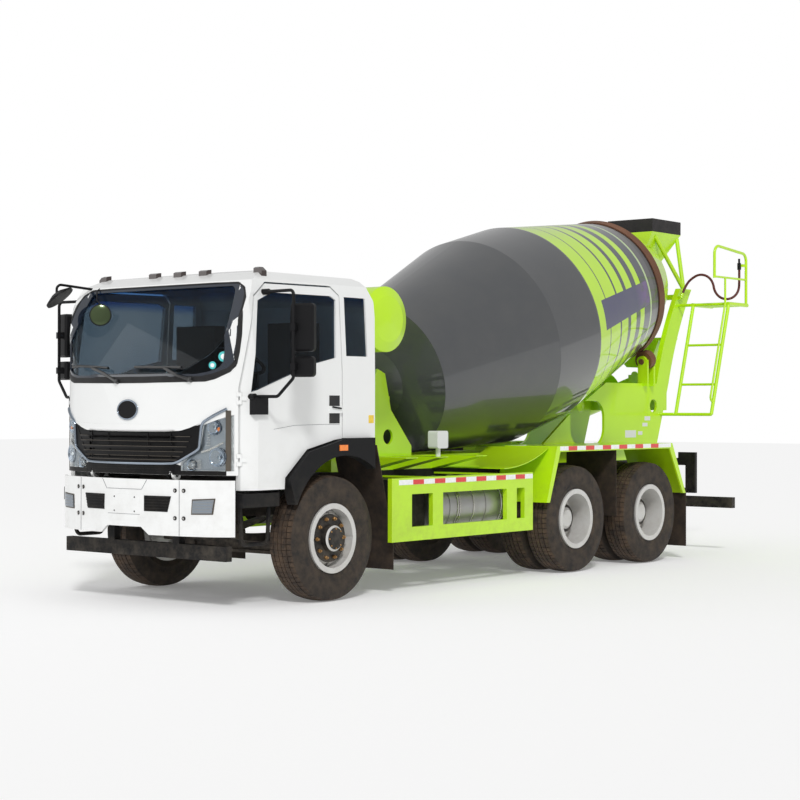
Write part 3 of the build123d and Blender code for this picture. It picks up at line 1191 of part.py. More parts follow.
def front_bumper():
    height = BUMPER_TOP_Z - BUMPER_BOTTOM_Z
    outer = Pos(0, 0, BUMPER_BOTTOM_Z) * extrude(bumper_face(BUMPER_OUTSET), amount=height)
    inner = Pos(0, 0, BUMPER_BOTTOM_Z - OVERRUN) * extrude(bumper_face(BUMPER_OUTSET - BUMPER_WALL),
                                                          amount=height + OVERRUN * 2)
    shell = outer - inner
    shell = shell & box(BUMPER_REAR_X, CAB_FRONT_X + OVERRUN * 2, -CAB_HALF_WIDTH - OVERRUN * 2,
                        CAB_HALF_WIDTH + OVERRUN * 2, BUMPER_BOTTOM_Z, BUMPER_TOP_Z)
    notch = front_plate(((-NOTCH_HALF_BOTTOM, BUMPER_BOTTOM_Z), (NOTCH_HALF_BOTTOM, BUMPER_BOTTOM_Z),
                         (NOTCH_HALF_TOP, BUMPER_BOTTOM_Z + NOTCH_HEIGHT), (-NOTCH_HALF_TOP, BUMPER_BOTTOM_Z + NOTCH_HEIGHT)),
                        BUMPER_REAR_X, CAB_FRONT_X + OVERRUN * 2)
    shell = shell - notch
    vent = front_plate(((VENT_INNER_Y, VENT_BOTTOM_Z), (VENT_OUTER_Y - OVERRUN / 2, VENT_BOTTOM_Z),
                        (VENT_OUTER_Y, VENT_TOP_Z), (VENT_INNER_Y, VENT_TOP_Z)),
                       BUMPER_REAR_X, CAB_FRONT_X + OVERRUN * 2)
    shell = shell - vent - mirrored(vent)
    floor_x = CAB_FRONT_X + BUMPER_OUTSET - PLATE_RECESS_DEPTH
    recess = box(floor_x, CAB_FRONT_X + OVERRUN * 2, -PLATE_RECESS_HALF, PLATE_RECESS_HALF,
                 PLATE_RECESS_Z - PLATE_RECESS_HEIGHT / 2, PLATE_RECESS_Z + PLATE_RECESS_HEIGHT / 2)
    shell = shell - recess
    for side in (1, -1):
        for up in (1, -1):
            y = side * PLATE_HOLES_ACROSS / 2
            z = PLATE_RECESS_Z + up * PLATE_HOLES_UP / 2
            shell = shell - rod((floor_x - OVERRUN, y, z), (floor_x + OVERRUN, y, z), NUMBER_PLATE_HOLE_R)
    arm = box(FRAME_FRONT_X, CAB_FRONT_X + OVERRUN, -FRAME_HALF_WIDTH, -FRAME_HALF_WIDTH + RAIL_FLANGE,
              FRAME_TOP_Z - RAIL_HEIGHT, FRAME_TOP_Z - RAIL_HEIGHT / 2)
    reach = Pos(0, 0, BUMPER_BOTTOM_Z - OVERRUN) * extrude(bumper_face(BUMPER_OUTSET - BUMPER_WALL / 2),
                                                          amount=height + OVERRUN * 2)
    arm = arm & reach
    return shell + arm + mirrored(arm)


def underrun_bars():
    """The beam below the front bumper and the one behind the rear wheels, with their hangers."""
    front = box(FRONT_UNDERRUN_X - UNDERRUN_DEPTH, FRONT_UNDERRUN_X, -FRONT_UNDERRUN_HALF, FRONT_UNDERRUN_HALF,
                UNDERRUN_Z - UNDERRUN_HEIGHT / 2, UNDERRUN_Z + UNDERRUN_HEIGHT / 2)
    hanger = box(FRONT_UNDERRUN_X - UNDERRUN_DEPTH, FRONT_UNDERRUN_X, FRAME_HALF_WIDTH - RAIL_FLANGE, FRAME_HALF_WIDTH,
                 UNDERRUN_Z, FRAME_TOP_Z - RAIL_HEIGHT)
    front = front + hanger + mirrored(hanger)
    rear = box(REAR_UNDERRUN_X - UNDERRUN_DEPTH, REAR_UNDERRUN_X, -REAR_UNDERRUN_HALF, REAR_UNDERRUN_HALF,
               REAR_UNDERRUN_Z - UNDERRUN_HEIGHT / 2, REAR_UNDERRUN_Z + UNDERRUN_HEIGHT / 2)
    low = REAR_UNDERRUN_Z
    stay = side_plate(((REAR_UNDERRUN_X, low - UNDERRUN_HEIGHT / 2), (REAR_UNDERRUN_X, low + UNDERRUN_HEIGHT / 2),
                       (FRAME_REAR_X + UNDERRUN_DEPTH * 2, FRAME_TOP_Z - RAIL_HEIGHT),
                       (FRAME_REAR_X + UNDERRUN_DEPTH * 4, FRAME_TOP_Z - RAIL_HEIGHT)),
                      FRAME_HALF_WIDTH - RAIL_FLANGE, FRAME_HALF_WIDTH)
    rear = rear + stay + mirrored(stay)
    return [front, rear]


def cab_steps():
    """The upper step bar and the hanging stirrup on each side, carried by a bracket from the frame."""
    bar = box(STEP_REAR_X, STEP_FRONT_X, STEP_INNER_Y, STEP_OUTER_Y, STEP_TOP_Z - STEP_BAR_HEIGHT, STEP_TOP_Z)
    bracket = box(STEP_REAR_X + UNDERRUN_DEPTH * 3, STEP_FRONT_X - UNDERRUN_DEPTH, FRAME_HALF_WIDTH, STEP_INNER_Y,
                  STEP_TOP_Z - STEP_BAR_HEIGHT, STEP_TOP_Z - STEP_BAR_HEIGHT + SHEET * 2)
    y = (STEP_OUTER_Y + STEP_INNER_Y) / 2
    x0 = STEP_REAR_X + STIRRUP_BAR_R * 2
    x1 = STEP_FRONT_X - STIRRUP_BAR_R * 3
    z0 = STEP_TOP_Z - STEP_BAR_HEIGHT
    stirrup = pipe(((x0, y, z0), (x0 + STIRRUP_BAR_R, y, STIRRUP_Z), (x1 - STIRRUP_BAR_R, y, STIRRUP_Z), (x1, y, z0)),
                   STIRRUP_BAR_R * 3, STIRRUP_BAR_R)
    step = bar + bracket + stirrup
    return both_sides(step)


def side_guards():
    inner = GUARD_OUTER_Y - GUARD_THICKNESS
    panel = box(GUARD_REAR_X, GUARD_FRONT_X, inner, GUARD_OUTER_Y, GUARD_BOTTOM_Z, GUARD_TOP_Z)
    length = GUARD_REAR_X - GUARD_FRONT_X
    height = GUARD_TOP_Z - GUARD_BOTTOM_Z
    for start, stop in GUARD_WINDOW_SHARES:
        hole = box(GUARD_FRONT_X + length * start, GUARD_FRONT_X + length * stop, inner - OVERRUN, GUARD_OUTER_Y + OVERRUN,
                   GUARD_BOTTOM_Z + height * GUARD_SILL_SHARE, GUARD_BOTTOM_Z + height * GUARD_HEAD_SHARE)
        panel = panel - hole
    for x in (OUTRIGGER_X[0], OUTRIGGER_X[2]):
        arm = box(x - GUARD_THICKNESS, x + GUARD_THICKNESS, FRAME_HALF_WIDTH, inner,
                  GUARD_TOP_Z - SHEET * 2, GUARD_TOP_Z)
        panel = panel + arm
    return both_sides(panel)


def fuel_tank():
    tank = rod((TANK_FRONT_X, TANK_Y, TANK_Z), (TANK_REAR_X, TANK_Y, TANK_Z), TANK_R)
    length = TANK_FRONT_X - TANK_REAR_X
    for share in (0.25, 0.75):
        x = TANK_REAR_X + length * share
        band = rod((x - STRAP_WIDTH / 2, TANK_Y, TANK_Z), (x + STRAP_WIDTH / 2, TANK_Y, TANK_Z), TANK_R + STRAP_THICKNESS)
        shelf = box(x - STRAP_WIDTH / 2, x + STRAP_WIDTH / 2, FRAME_HALF_WIDTH, TANK_Y,
                    TANK_Z + RAIL_FLANGE, TANK_Z + RAIL_FLANGE * 2)
        tank = tank + band + shelf
    return tank


def chassis_boxes():
    """Battery box, air tanks and silencer along the frame."""
    z1 = FRAME_TOP_Z - SHEET * 7
    battery = box(TANK_FRONT_X + OVERRUN, TANK_FRONT_X + OVERRUN + BATTERY_LENGTH, FRAME_HALF_WIDTH,
                  GUARD_OUTER_Y - GUARD_THICKNESS * 3, z1 - BATTERY_LENGTH, z1)
    x = TANK_REAR_X
    pieces = [battery]
    y = -FRAME_HALF_WIDTH - AIR_TANK_R - SHEET
    for n in range(2):
        low = z1 - AIR_TANK_R - n * (AIR_TANK_R * 2 + SHEET)
        tank = rod((x, y, low), (x + AIR_TANK_LENGTH, y, low), AIR_TANK_R)
        hanger = box(x + AIR_TANK_LENGTH / 2 - SHEET, x + AIR_TANK_LENGTH / 2 + SHEET, y, -FRAME_HALF_WIDTH,
                     low - SHEET, low + SHEET)
        tank = tank + hanger
        if n == 1:
            link = box(x + AIR_TANK_LENGTH / 2 - SHEET, x + AIR_TANK_LENGTH / 2 + SHEET, y - SHEET, y + SHEET, low, z1 - AIR_TANK_R)
            tank = tank + link
        pieces.append(tank)
    tanks = pieces.pop() + pieces.pop()
    pieces.append(tanks)
    sy = -FRAME_HALF_WIDTH - SILENCER_R - SHEET
    silencer = rod((TANK_FRONT_X, sy, TANK_Z), (TANK_FRONT_X + SILENCER_LENGTH / 2, sy, TANK_Z), SILENCER_R)
    hanger = box(TANK_FRONT_X + SILENCER_LENGTH / 4 - SHEET, TANK_FRONT_X + SILENCER_LENGTH / 4 + SHEET, sy,
                 -FRAME_HALF_WIDTH, TANK_Z + SILENCER_R / 2, TANK_Z + SILENCER_R / 2 + UNDERRUN_DEPTH)
    pieces.append(silencer + hanger)
    return pieces


def mudguard_line(inset):
    """The guard's profile, from the front foot over both wheels to the rear foot."""
    top = MUDGUARD_TOP_Z - inset
    return [(MUDGUARD_TOP_FRONT_X + OVERRUN * 3 - inset, MUDGUARD_FOOT_Z), (MUDGUARD_TOP_FRONT_X - inset, top),
            (MUDGUARD_REAR_X + inset, top), (MUDGUARD_REAR_FOOT_X + inset, MUDGUARD_FOOT_Z)]


def rear_mudguards():
    outer = mudguard_line(0)
    inner = list(reversed(mudguard_line(MUDGUARD_SHEET)))
    sheet = side_plate(outer + inner, MUDGUARD_INNER_Y, MUDGUARD_OUTER_Y)
    lip = side_plate(outer + list(reversed(mudguard_line(MUDGUARD_LIP))), MUDGUARD_OUTER_Y - MUDGUARD_SHEET * 2, MUDGUARD_OUTER_Y)
    guard = sheet + lip
    for x in (-WHEELBASE, REAR_AXLE_X):
        riser_y = MUDGUARD_INNER_Y - MUDGUARD_STAY_ROOM
        foot_z = FRAME_TOP_Z - UNDERRUN_DEPTH
        foot = box(x - STRAP_WIDTH, x + STRAP_WIDTH, FRAME_HALF_WIDTH, riser_y, foot_z, foot_z + MUDGUARD_SHEET * 2)
        riser = box(x - STRAP_WIDTH, x + STRAP_WIDTH, riser_y - MUDGUARD_SHEET, riser_y, foot_z, MUDGUARD_TOP_Z)
        head = box(x - STRAP_WIDTH, x + STRAP_WIDTH, riser_y, MUDGUARD_INNER_Y, MUDGUARD_TOP_Z - MUDGUARD_SHEET,
                   MUDGUARD_TOP_Z)
        guard = guard + foot + riser + head
    return both_sides(guard)


def mud_flaps():
    """The rear flaps, those between the twin wheels, and the guard and flap behind each front wheel."""
    rear = box(MUDGUARD_REAR_FOOT_X - FLAP_THICKNESS, MUDGUARD_REAR_FOOT_X, MUDGUARD_INNER_Y, MUDGUARD_OUTER_Y,
               REAR_FLAP_BOTTOM_Z, MUDGUARD_FOOT_Z + MUDGUARD_LIP)
    sheet = side_plate(((QUARTER_TOP_X, QUARTER_HEAD_Z), (QUARTER_FOOT_X, QUARTER_FOOT_Z),
                        (QUARTER_FOOT_X - FLAP_THICKNESS, QUARTER_FOOT_Z), (QUARTER_TOP_X - FLAP_THICKNESS, QUARTER_HEAD_Z)),
                       LINER_INNER_Y, ARCH_SIDE_Y)
    flap = box(QUARTER_FOOT_X - FLAP_THICKNESS, QUARTER_FOOT_X, LINER_INNER_Y, ARCH_SIDE_Y, FRONT_FLAP_BOTTOM_Z,
               QUARTER_FOOT_Z)
    arm = box(QUARTER_ARM_X - FLAP_THICKNESS, QUARTER_ARM_X, FRAME_HALF_WIDTH, LINER_INNER_Y + MUDGUARD_LIP,
              FRAME_TOP_Z - UNDERRUN_DEPTH, FRAME_TOP_Z)
    mid_x = BOGIE_X
    mid = box(mid_x - FLAP_THICKNESS / 2, mid_x + FLAP_THICKNESS / 2, MUDGUARD_INNER_Y, MUDGUARD_OUTER_Y - MUDGUARD_SHEET * 2,
              FRAME_TOP_Z - RAIL_HEIGHT * 2, MUDGUARD_TOP_Z - MUDGUARD_SHEET)
    pieces = []
    for solid in (rear, sheet + flap + arm, mid):
        pieces = pieces + both_sides(solid)
    return pieces


def tail_lamps():
    rear = TAIL_FRONT_X - TAIL_DEPTH
    top = box(rear, TAIL_FRONT_X, TAIL_INNER_Y, TAIL_OUTER_Y, TAIL_BOX_BOTTOM_Z, TAIL_BOX_TOP_Z)
    panel = box(rear, TAIL_FRONT_X, TAIL_PANEL_INNER_Y, TAIL_OUTER_Y, TAIL_PANEL_BOTTOM_Z, TAIL_BOX_BOTTOM_Z)
    tongue = box(TAIL_FRONT_X, FRAME_REAR_X + TAIL_DEPTH * 2, FRAME_HALF_WIDTH, FRAME_HALF_WIDTH + SHEET * 2,
                 TAIL_BOX_BOTTOM_Z, FRAME_TOP_Z)
    return both_sides(top + panel + tongue)


# Drum, in its own axes: x is s along the drum, z is the radius

def drum_plane():
    tilt = math.radians(DRUM_TILT_DEG)
    return Plane(origin=(DRUM_REF_X, 0, DRUM_REF_Z), x_dir=(-math.cos(tilt), 0, math.sin(tilt)),
                 z_dir=(math.sin(tilt), 0, math.cos(tilt)))


def drum_point(s, r, angle):
    """A place at distance r from the drum's axis, angle degrees round from straight below."""
    turn = math.radians(angle)
    tilt = math.radians(DRUM_TILT_DEG)
    down = r * math.cos(turn)
    return (DRUM_REF_X - s * math.cos(tilt) - down * math.sin(tilt), r * math.sin(turn),
            DRUM_REF_Z + s * math.sin(tilt) - down * math.cos(tilt))


def drum_turned(points):
    face = Face(Wire.make_polygon([Vector(s, 0, r) for s, r in points], close=True))
    return drum_plane().location * Solid.revolve(face, 360, Axis.X)


def drum_body():
    head = [(FLANGE_S + FLANGE_PLATE_THICKNESS + (HEAD_EDGE_S - FLANGE_S) * u, FLANGE_PLATE_R + (HEAD_EDGE_R - FLANGE_PLATE_R) * v)
            for u, v in HEAD_CROWN_SHARES]
    wall = DRUM_WALL
    outside = [(FLANGE_S, 0), (FLANGE_S, FLANGE_PLATE_R), (FLANGE_S + FLANGE_PLATE_THICKNESS, FLANGE_PLATE_R)]
    outside = outside + head + [(HEAD_EDGE_S, HEAD_EDGE_R), (BELLY_FRONT_S, BELLY_R), (BELLY_REAR_S, BELLY_R),
                                (TRACK_S, TRACK_SEAT_R), (MOUTH_S, MOUTH_R)]
    inside = [(MOUTH_S, MOUTH_R - wall), (TRACK_S, TRACK_SEAT_R - wall), (BELLY_REAR_S, BELLY_R - wall),
              (BELLY_FRONT_S, BELLY_R - wall), (HEAD_EDGE_S + wall, HEAD_EDGE_R - wall)]
    inside = inside + [(s + wall, r - wall) for s, r in reversed(head)]
    inside = inside + [(FLANGE_S + FLANGE_PLATE_THICKNESS + wall, 0)]
    return drum_turned(outside + inside)


def drum_ring():
    half = TRACK_WIDTH / 2
    slope_front = (BELLY_R - TRACK_SEAT_R) / (TRACK_S - BELLY_REAR_S)
    slope_rear = (TRACK_SEAT_R - MOUTH_R) / (MOUTH_S - TRACK_S)
    return drum_turned([(TRACK_S - half, TRACK_SEAT_R + half * slope_front), (TRACK_S, TRACK_SEAT_R),
                        (TRACK_S + half, TRACK_SEAT_R - half * slope_rear),
                        (TRACK_S + half, TRACK_R), (TRACK_S - half, TRACK_R)])


def roller_axis():
    tilt = math.radians(DRUM_TILT_DEG)
    return Vector(-math.cos(tilt), 0, math.sin(tilt))


def roller_centre():
    return Vector(*drum_point(TRACK_S, TRACK_R + ROLLER_R + ROLLER_GAP, ROLLER_ANGLE_DEG))


def roller_left():
    centre = roller_centre()
    along = roller_axis()
    body = rod(centre - along * (ROLLER_WIDTH / 2), centre + along * (ROLLER_WIDTH / 2), ROLLER_R)
    pin = rod(centre - along * ROLLER_WIDTH, centre + along * ROLLER_WIDTH, ROLLER_PIN_R)
    return body + pin


def front_pedestal():
    base = FRAME_TOP_Z + SUB_HEIGHT
    outline = ((PEDESTAL_TOP_FRONT_X, PEDESTAL_TOP_Z), (PEDESTAL_TOP_REAR_X, PEDESTAL_TOP_Z - PEDESTAL_HEEL / 2),
               (PEDESTAL_WAIST_X, PEDESTAL_WAIST_Z), (PEDESTAL_REAR_X, base + PEDESTAL_HEEL),
               (PEDESTAL_REAR_X, base), (PEDESTAL_FRONT_X, base), (PEDESTAL_FRONT_X, base + PEDESTAL_HEEL))
    plate = side_plate(outline, PEDESTAL_Y - PEDESTAL_SHEET, PEDESTAL_Y)
    hole = rod_y(PEDESTAL_HOLE_X, PEDESTAL_HOLE_Z, PEDESTAL_HOLE_R, PEDESTAL_Y - OVERRUN, PEDESTAL_Y + OVERRUN)
    plate = plate - hole
    foot = box(PEDESTAL_REAR_X, PEDESTAL_FRONT_X, -PEDESTAL_Y, PEDESTAL_Y, base, base + PEDESTAL_SHEET)
    near = Vector(*drum_point(FLANGE_S - FLANGE_PLATE_THICKNESS - PEDESTAL_SHEET, 0, 0))
    saddle = side_plate(((near.X + PEDESTAL_SHEET, near.Z - GEARBOX_R - PEDESTAL_BRIDGE_DROP),
                         (near.X + PEDESTAL_SHEET, near.Z - GEARBOX_R / 2),
                         (near.X + GEARBOX_LENGTH / 2, near.Z - GEARBOX_R / 2),
                         (near.X + GEARBOX_LENGTH / 2, near.Z - GEARBOX_R - PEDESTAL_BRIDGE_DROP)), -PEDESTAL_Y, PEDESTAL_Y)
    case = rod(drum_point(FLANGE_S, 0, 0), drum_point(FLANGE_S - GEARBOX_LENGTH, 0, 0), GEARBOX_R)
    saddle = saddle - case
    return plate + mirrored(plate) + foot + saddle


def drum_gearbox():
    """The reducer that carries the drum's flange, with its hydraulic motor."""
    face = rod(drum_point(FLANGE_S - ROLLER_GAP, 0, 0), drum_point(FLANGE_S - FLANGE_PLATE_THICKNESS, 0, 0), FLANGE_PLATE_R * 0.9)
    case = rod(drum_point(FLANGE_S - FLANGE_PLATE_THICKNESS, 0, 0), drum_point(FLANGE_S - GEARBOX_LENGTH, 0, 0), GEARBOX_R)
    motor = rod(drum_point(FLANGE_S - GEARBOX_LENGTH, 0, 0), drum_point(FLANGE_S - GEARBOX_LENGTH - MOTOR_LENGTH, 0, 0), MOTOR_R)
    return face + case + motor


def column(width, depth, y):
    """A curved box column from the pedestal's rear leg up and back to the hopper's foot."""
    foot_x = PLATE_REAR_X + COLUMN_WIDTH / 2
    bend_x = foot_x - (foot_x - COLUMN_TOP_X) * COLUMN_BEND_SHARE
    bend_z = PLATE_TOP_Z + (COLUMN_TOP_Z - PLATE_TOP_Z) * COLUMN_BEND_HEIGHT_SHARE
    front = ThreePointArc((foot_x + width / 2, PLATE_TOP_Z), (bend_x + width / 2, bend_z), (COLUMN_TOP_X + width / 2, COLUMN_TOP_Z))
    back = ThreePointArc((COLUMN_TOP_X - width / 2, COLUMN_TOP_Z), (bend_x - width / 2, bend_z), (foot_x - width / 2, PLATE_TOP_Z))
    face = make_face([front, Line(front @ 1, back @ 0), back, Line(back @ 1, front @ 0)])
    return side_prism(face, y - depth / 2, y + depth / 2)


def rear_pedestal():
    """The side plates, their roller lugs, the columns to the hopper and the beams across."""
    base = FRAME_TOP_Z + SUB_HEIGHT
    outline = ((PLATE_FRONT_X, base), (PLATE_FRONT_X, base + PLATE_TOE), (PLATE_SHOULDER_X, PLATE_SHOULDER_Z),
               (PLATE_CREST_X, PLATE_TOP_Z), (PLATE_REAR_X, PLATE_TOP_Z), (PLATE_LEG_X, base))
    plate = side_plate(outline, PLATE_Y - PLATE_SHEET, PLATE_Y)
    arch = box(ARCHWAY_REAR_X, ARCHWAY_FRONT_X, PLATE_Y - OVERRUN * 2, PLATE_Y + OVERRUN, base + PLATE_TOE, ARCHWAY_TOP_Z)
    arch = fillet(arch.edges().filter_by(Axis.Y), OVERRUN * 3)
    plate = plate - arch
    plate = plate - rod_y(PLATE_HOLE_X, PLATE_HOLE_Z, PLATE_HOLE_R, PLATE_Y - OVERRUN, PLATE_Y + OVERRUN)
    foot = box(PLATE_LEG_X, PLATE_FRONT_X, FRAME_HALF_WIDTH - SUB_WIDTH, PLATE_Y, base, base + PLATE_SHEET)
    plate = plate + foot
    centre = roller_centre()
    along = roller_axis()
    for side in (1, -1):
        near = centre + along * (side * (ROLLER_WIDTH / 2 + MOVING_GAP))
        far = centre + along * (side * (ROLLER_WIDTH / 2 + MOVING_GAP + PLATE_SHEET))
        post = box(min(near.X, far.X), max(near.X, far.X), PLATE_Y - LUG_R, PLATE_Y + LUG_R, PLATE_TOP_Z - PLATE_SHEET,
                   centre.Z)
        plate = plate + rod(near, far, LUG_R) + post
    plate = plate - rod(centre - along * (ROLLER_WIDTH * 2), centre + along * (ROLLER_WIDTH * 2), ROLLER_PIN_R + RUNNING_FIT)
    plate = plate - rod(centre - along * (ROLLER_WIDTH / 2 + MOVING_GAP), centre + along * (ROLLER_WIDTH / 2 + MOVING_GAP),
                        ROLLER_R + MOVING_GAP)
    plate = plate + column(COLUMN_WIDTH, COLUMN_DEPTH, PLATE_Y - COLUMN_DEPTH / 2)
    whole = plate + mirrored(plate)
    beam = box(REAR_BEAM_X, REAR_BEAM_X + PLATE_SHEET * 2, -PLATE_Y, PLATE_Y,
               REAR_BEAM_TOP_Z - REAR_BEAM_HEIGHT, REAR_BEAM_TOP_Z)
    beam = beam + box(YOKE_X, REAR_BEAM_X, -YOKE_BOSS_R, YOKE_BOSS_R, YOKE_BOSS_Z, YOKE_BOSS_Z + YOKE_BOSS_HEIGHT)
    beam = beam + Solid.make_cylinder(YOKE_BOSS_R, YOKE_BOSS_HEIGHT, Plane(origin=(YOKE_X, 0, YOKE_BOSS_Z)))
    bore = Solid.make_cylinder(YOKE_POST_R + RUNNING_FIT, YOKE_BOSS_HEIGHT + OVERRUN * 2,
                               Plane(origin=(YOKE_X, 0, YOKE_BOSS_Z - OVERRUN)))
    top = box(COLUMN_TOP_X - COLUMN_DEPTH / 2, COLUMN_TOP_X + COLUMN_DEPTH / 2, -PLATE_Y, PLATE_Y,
              COLUMN_TOP_Z - COLUMN_DEPTH * 2, COLUMN_TOP_Z - COLUMN_DEPTH)
    return whole + (beam - bore) + top + hose_union()


def funnel(inset):
    """The hopper's solid form, a loft from the throat in the drum's mouth to the wide top."""
    mid_x = (HOPPER_FRONT_X + HOPPER_REAR_X) / 2
    length = HOPPER_FRONT_X - HOPPER_REAR_X - inset * 2
    width = HOPPER_HALF * 2 - inset * 2
    throat = HOPPER_THROAT - inset * 2
    top = Pos(mid_x, 0, HOPPER_TOP_Z) * Rectangle(length, width)
    low = Pos(HOPPER_THROAT_X, 0, HOPPER_BOTTOM_Z) * Rectangle(throat, throat)
    return loft([low.face(), top.face()])


def hopper():
    inner = funnel(HOPPER_WALL)
    shell = funnel(0) - inner
    for side in (1, -1):
        foot = Vector(COLUMN_TOP_X, side * (PLATE_Y - COLUMN_DEPTH / 2), COLUMN_TOP_Z)
        for x in (HOPPER_REAR_X + HOPPER_LEG_R * 2, HOPPER_FRONT_X - HOPPER_LEG_R * 4):
            head = Vector(x, side * (HOPPER_HALF - HOPPER_LEG_R), HOPPER_TOP_Z - HOPPER_LEG_R * 2)
            shell = shell + (rod(foot, head, HOPPER_LEG_R) - inner)
    below = box(HOPPER_REAR_X - OVERRUN, HOPPER_FRONT_X + OVERRUN, -PLATE_Y - OVERRUN, PLATE_Y + OVERRUN,
                COLUMN_TOP_Z - OVERRUN, COLUMN_TOP_Z)
    return shell - below


def hopper_skirt():
    height = SKIRT_TOP_Z - HOPPER_TOP_Z
    outer = box(HOPPER_REAR_X, HOPPER_FRONT_X, -HOPPER_HALF, HOPPER_HALF, HOPPER_TOP_Z, HOPPER_TOP_Z + height)
    inner = box(HOPPER_REAR_X + SKIRT_WALL, HOPPER_FRONT_X - SKIRT_WALL, -HOPPER_HALF + SKIRT_WALL,
                HOPPER_HALF - SKIRT_WALL, HOPPER_TOP_Z - OVERRUN, SKIRT_TOP_Z + OVERRUN)
    return outer - inner


def collector_form(inset):
    top = Pos(COLLECTOR_X, 0, COLLECTOR_TOP_Z) * Rectangle(COLLECTOR_LENGTH - inset * 2, COLLECTOR_HALF * 2 - inset * 2)
    low = Pos(YOKE_X, 0, COLLECTOR_TOP_Z - COLLECTOR_HEIGHT) * Rectangle(COLLECTOR_THROAT - inset * 2,
                                                                        COLLECTOR_THROAT - inset * 2)
    return loft([low.face(), top.face()])


def collector():
    """The trough behind the drum's mouth that leads down to the chute."""
    inner = collector_form(HOPPER_WALL)
    shell = collector_form(0) - inner
    ear = box(COLLECTOR_X - COLUMN_DEPTH / 2, COLLECTOR_X + COLUMN_DEPTH * 2, COLLECTOR_HALF - HOPPER_WALL * 3, PLATE_Y - COLUMN_DEPTH,
              COLLECTOR_TOP_Z - COLUMN_DEPTH, COLLECTOR_TOP_Z)
    return shell + (ear - inner) + (mirrored(ear) - inner)


def parked(shape):
    """Lays a chute piece, drawn along +X from its pin, to the right of the truck on its slope."""
    return Pos(YOKE_X, 0, YOKE_PIN_Z) * Rot(0, 0, -90) * Rot(0, CHUTE_SLOPE_DEG, 0) * shape


def trough(start, stop, up):
    """Half a tube along X; its open side faces up, or down where up is false."""
    outer = rod((start, 0, 0), (stop, 0, 0), CHUTE_R)
    inner = rod((start - OVERRUN, 0, 0), (stop + OVERRUN, 0, 0), CHUTE_R - CHUTE_WALL)
    side = CHUTE_R + OVERRUN
    if up:
        half = box(start - OVERRUN, stop + OVERRUN, -side, side, 0, side)
    else:
        half = box(start - OVERRUN, stop + OVERRUN, -side, side, -side, 0)
    return outer - inner - half


def chute_yoke():
    top = YOKE_BOSS_Z + YOKE_BOSS_HEIGHT + ROLLER_GAP
    post = Solid.make_cylinder(YOKE_POST_R, top - YOKE_BOSS_Z + YOKE_PLATE, Plane(origin=(YOKE_X, 0, YOKE_BOSS_Z)))
    wide = CHUTE_R + MOVING_GAP + YOKE_PLATE
    head = box(YOKE_X - wide, YOKE_X + wide, -YOKE_BOSS_R, YOKE_BOSS_R, top, top + YOKE_PLATE)
    yoke = post + head
    for side in (1, -1):
        x0 = YOKE_X + side * (CHUTE_R + MOVING_GAP)
        x1 = x0 + side * YOKE_PLATE
        cheek = box(min(x0, x1), max(x0, x1), -YOKE_BOSS_R, YOKE_BOSS_R, top, YOKE_PIN_Z)
        cheek = cheek + rod((min(x0, x1), 0, YOKE_PIN_Z), (max(x0, x1), 0, YOKE_PIN_Z), YOKE_BOSS_R / 2)
        cheek = cheek - rod((min(x0, x1) - OVERRUN, 0, YOKE_PIN_Z), (max(x0, x1) + OVERRUN, 0, YOKE_PIN_Z),
                            CHUTE_PIN_R + RUNNING_FIT)
        yoke = yoke + cheek
    return yoke


def main_chute():
    chute = trough(-CHUTE_HEAD, CHUTE_LENGTH, True)
    for side in (1, -1):
        y0 = side * (CHUTE_R - CHUTE_WALL)
        y1 = side * (CHUTE_R + MOVING_GAP + YOKE_PLATE)
        chute = chute + rod_y(0, 0, CHUTE_PIN_R, y0, y1)
        y2 = side * (CHUTE_R + YOKE_PLATE)
        chute = chute + rod_y(CHUTE_LENGTH, MOVING_GAP / 2, CHUTE_PIN_R / 2, side * (CHUTE_R - CHUTE_WALL / 2), y2)
        chute = chute + box(CHUTE_LENGTH - CHUTE_PIN_R * 2, CHUTE_LENGTH, min(y0, side * CHUTE_R), max(y0, side * CHUTE_R),
                            -CHUTE_PIN_R, 0)
    return parked(chute)


def chute_extension():
    """The flip-over length, folded upside down on the end of the main chute."""
    ext = Pos(0, 0, MOVING_GAP) * trough(CHUTE_LENGTH - CHUTE_EXT_LENGTH, CHUTE_LENGTH - CHUTE_PIN_R * 2, False)
    for side in (1, -1):
        y0 = side * (CHUTE_R - CHUTE_WALL / 2)
        y1 = side * (CHUTE_R + CHUTE_WALL)
        y2 = side * (CHUTE_R + CHUTE_WALL * 2)
        arm = box(CHUTE_LENGTH - CHUTE_PIN_R * 4, CHUTE_LENGTH, min(y1, y2), max(y1, y2), MOVING_GAP / 2 - CHUTE_PIN_R / 2,
                  CHUTE_PIN_R * 2)
        arm = arm + rod_y(CHUTE_LENGTH, MOVING_GAP / 2, CHUTE_PIN_R, y1, y2)
        arm = arm + box(CHUTE_LENGTH - CHUTE_PIN_R * 4, CHUTE_LENGTH - CHUTE_PIN_R * 2, min(y0, y2), max(y0, y2),
                        CHUTE_PIN_R, CHUTE_PIN_R * 2)
        arm = arm - rod_y(CHUTE_LENGTH, MOVING_GAP / 2, CHUTE_PIN_R / 2 + RUNNING_FIT, y1 - side * OVERRUN, y2 + side * OVERRUN)
        ext = ext + arm
    return parked(ext)


# Ladder and water

def ladder_x(z):
    """Where the leaning ladder is at height z."""
    return LADDER_FOOT_X + (LADDER_TOP_X - LADDER_FOOT_X) * (z - LADDER_FOOT_Z) / (PLATFORM_Z - LADDER_FOOT_Z)


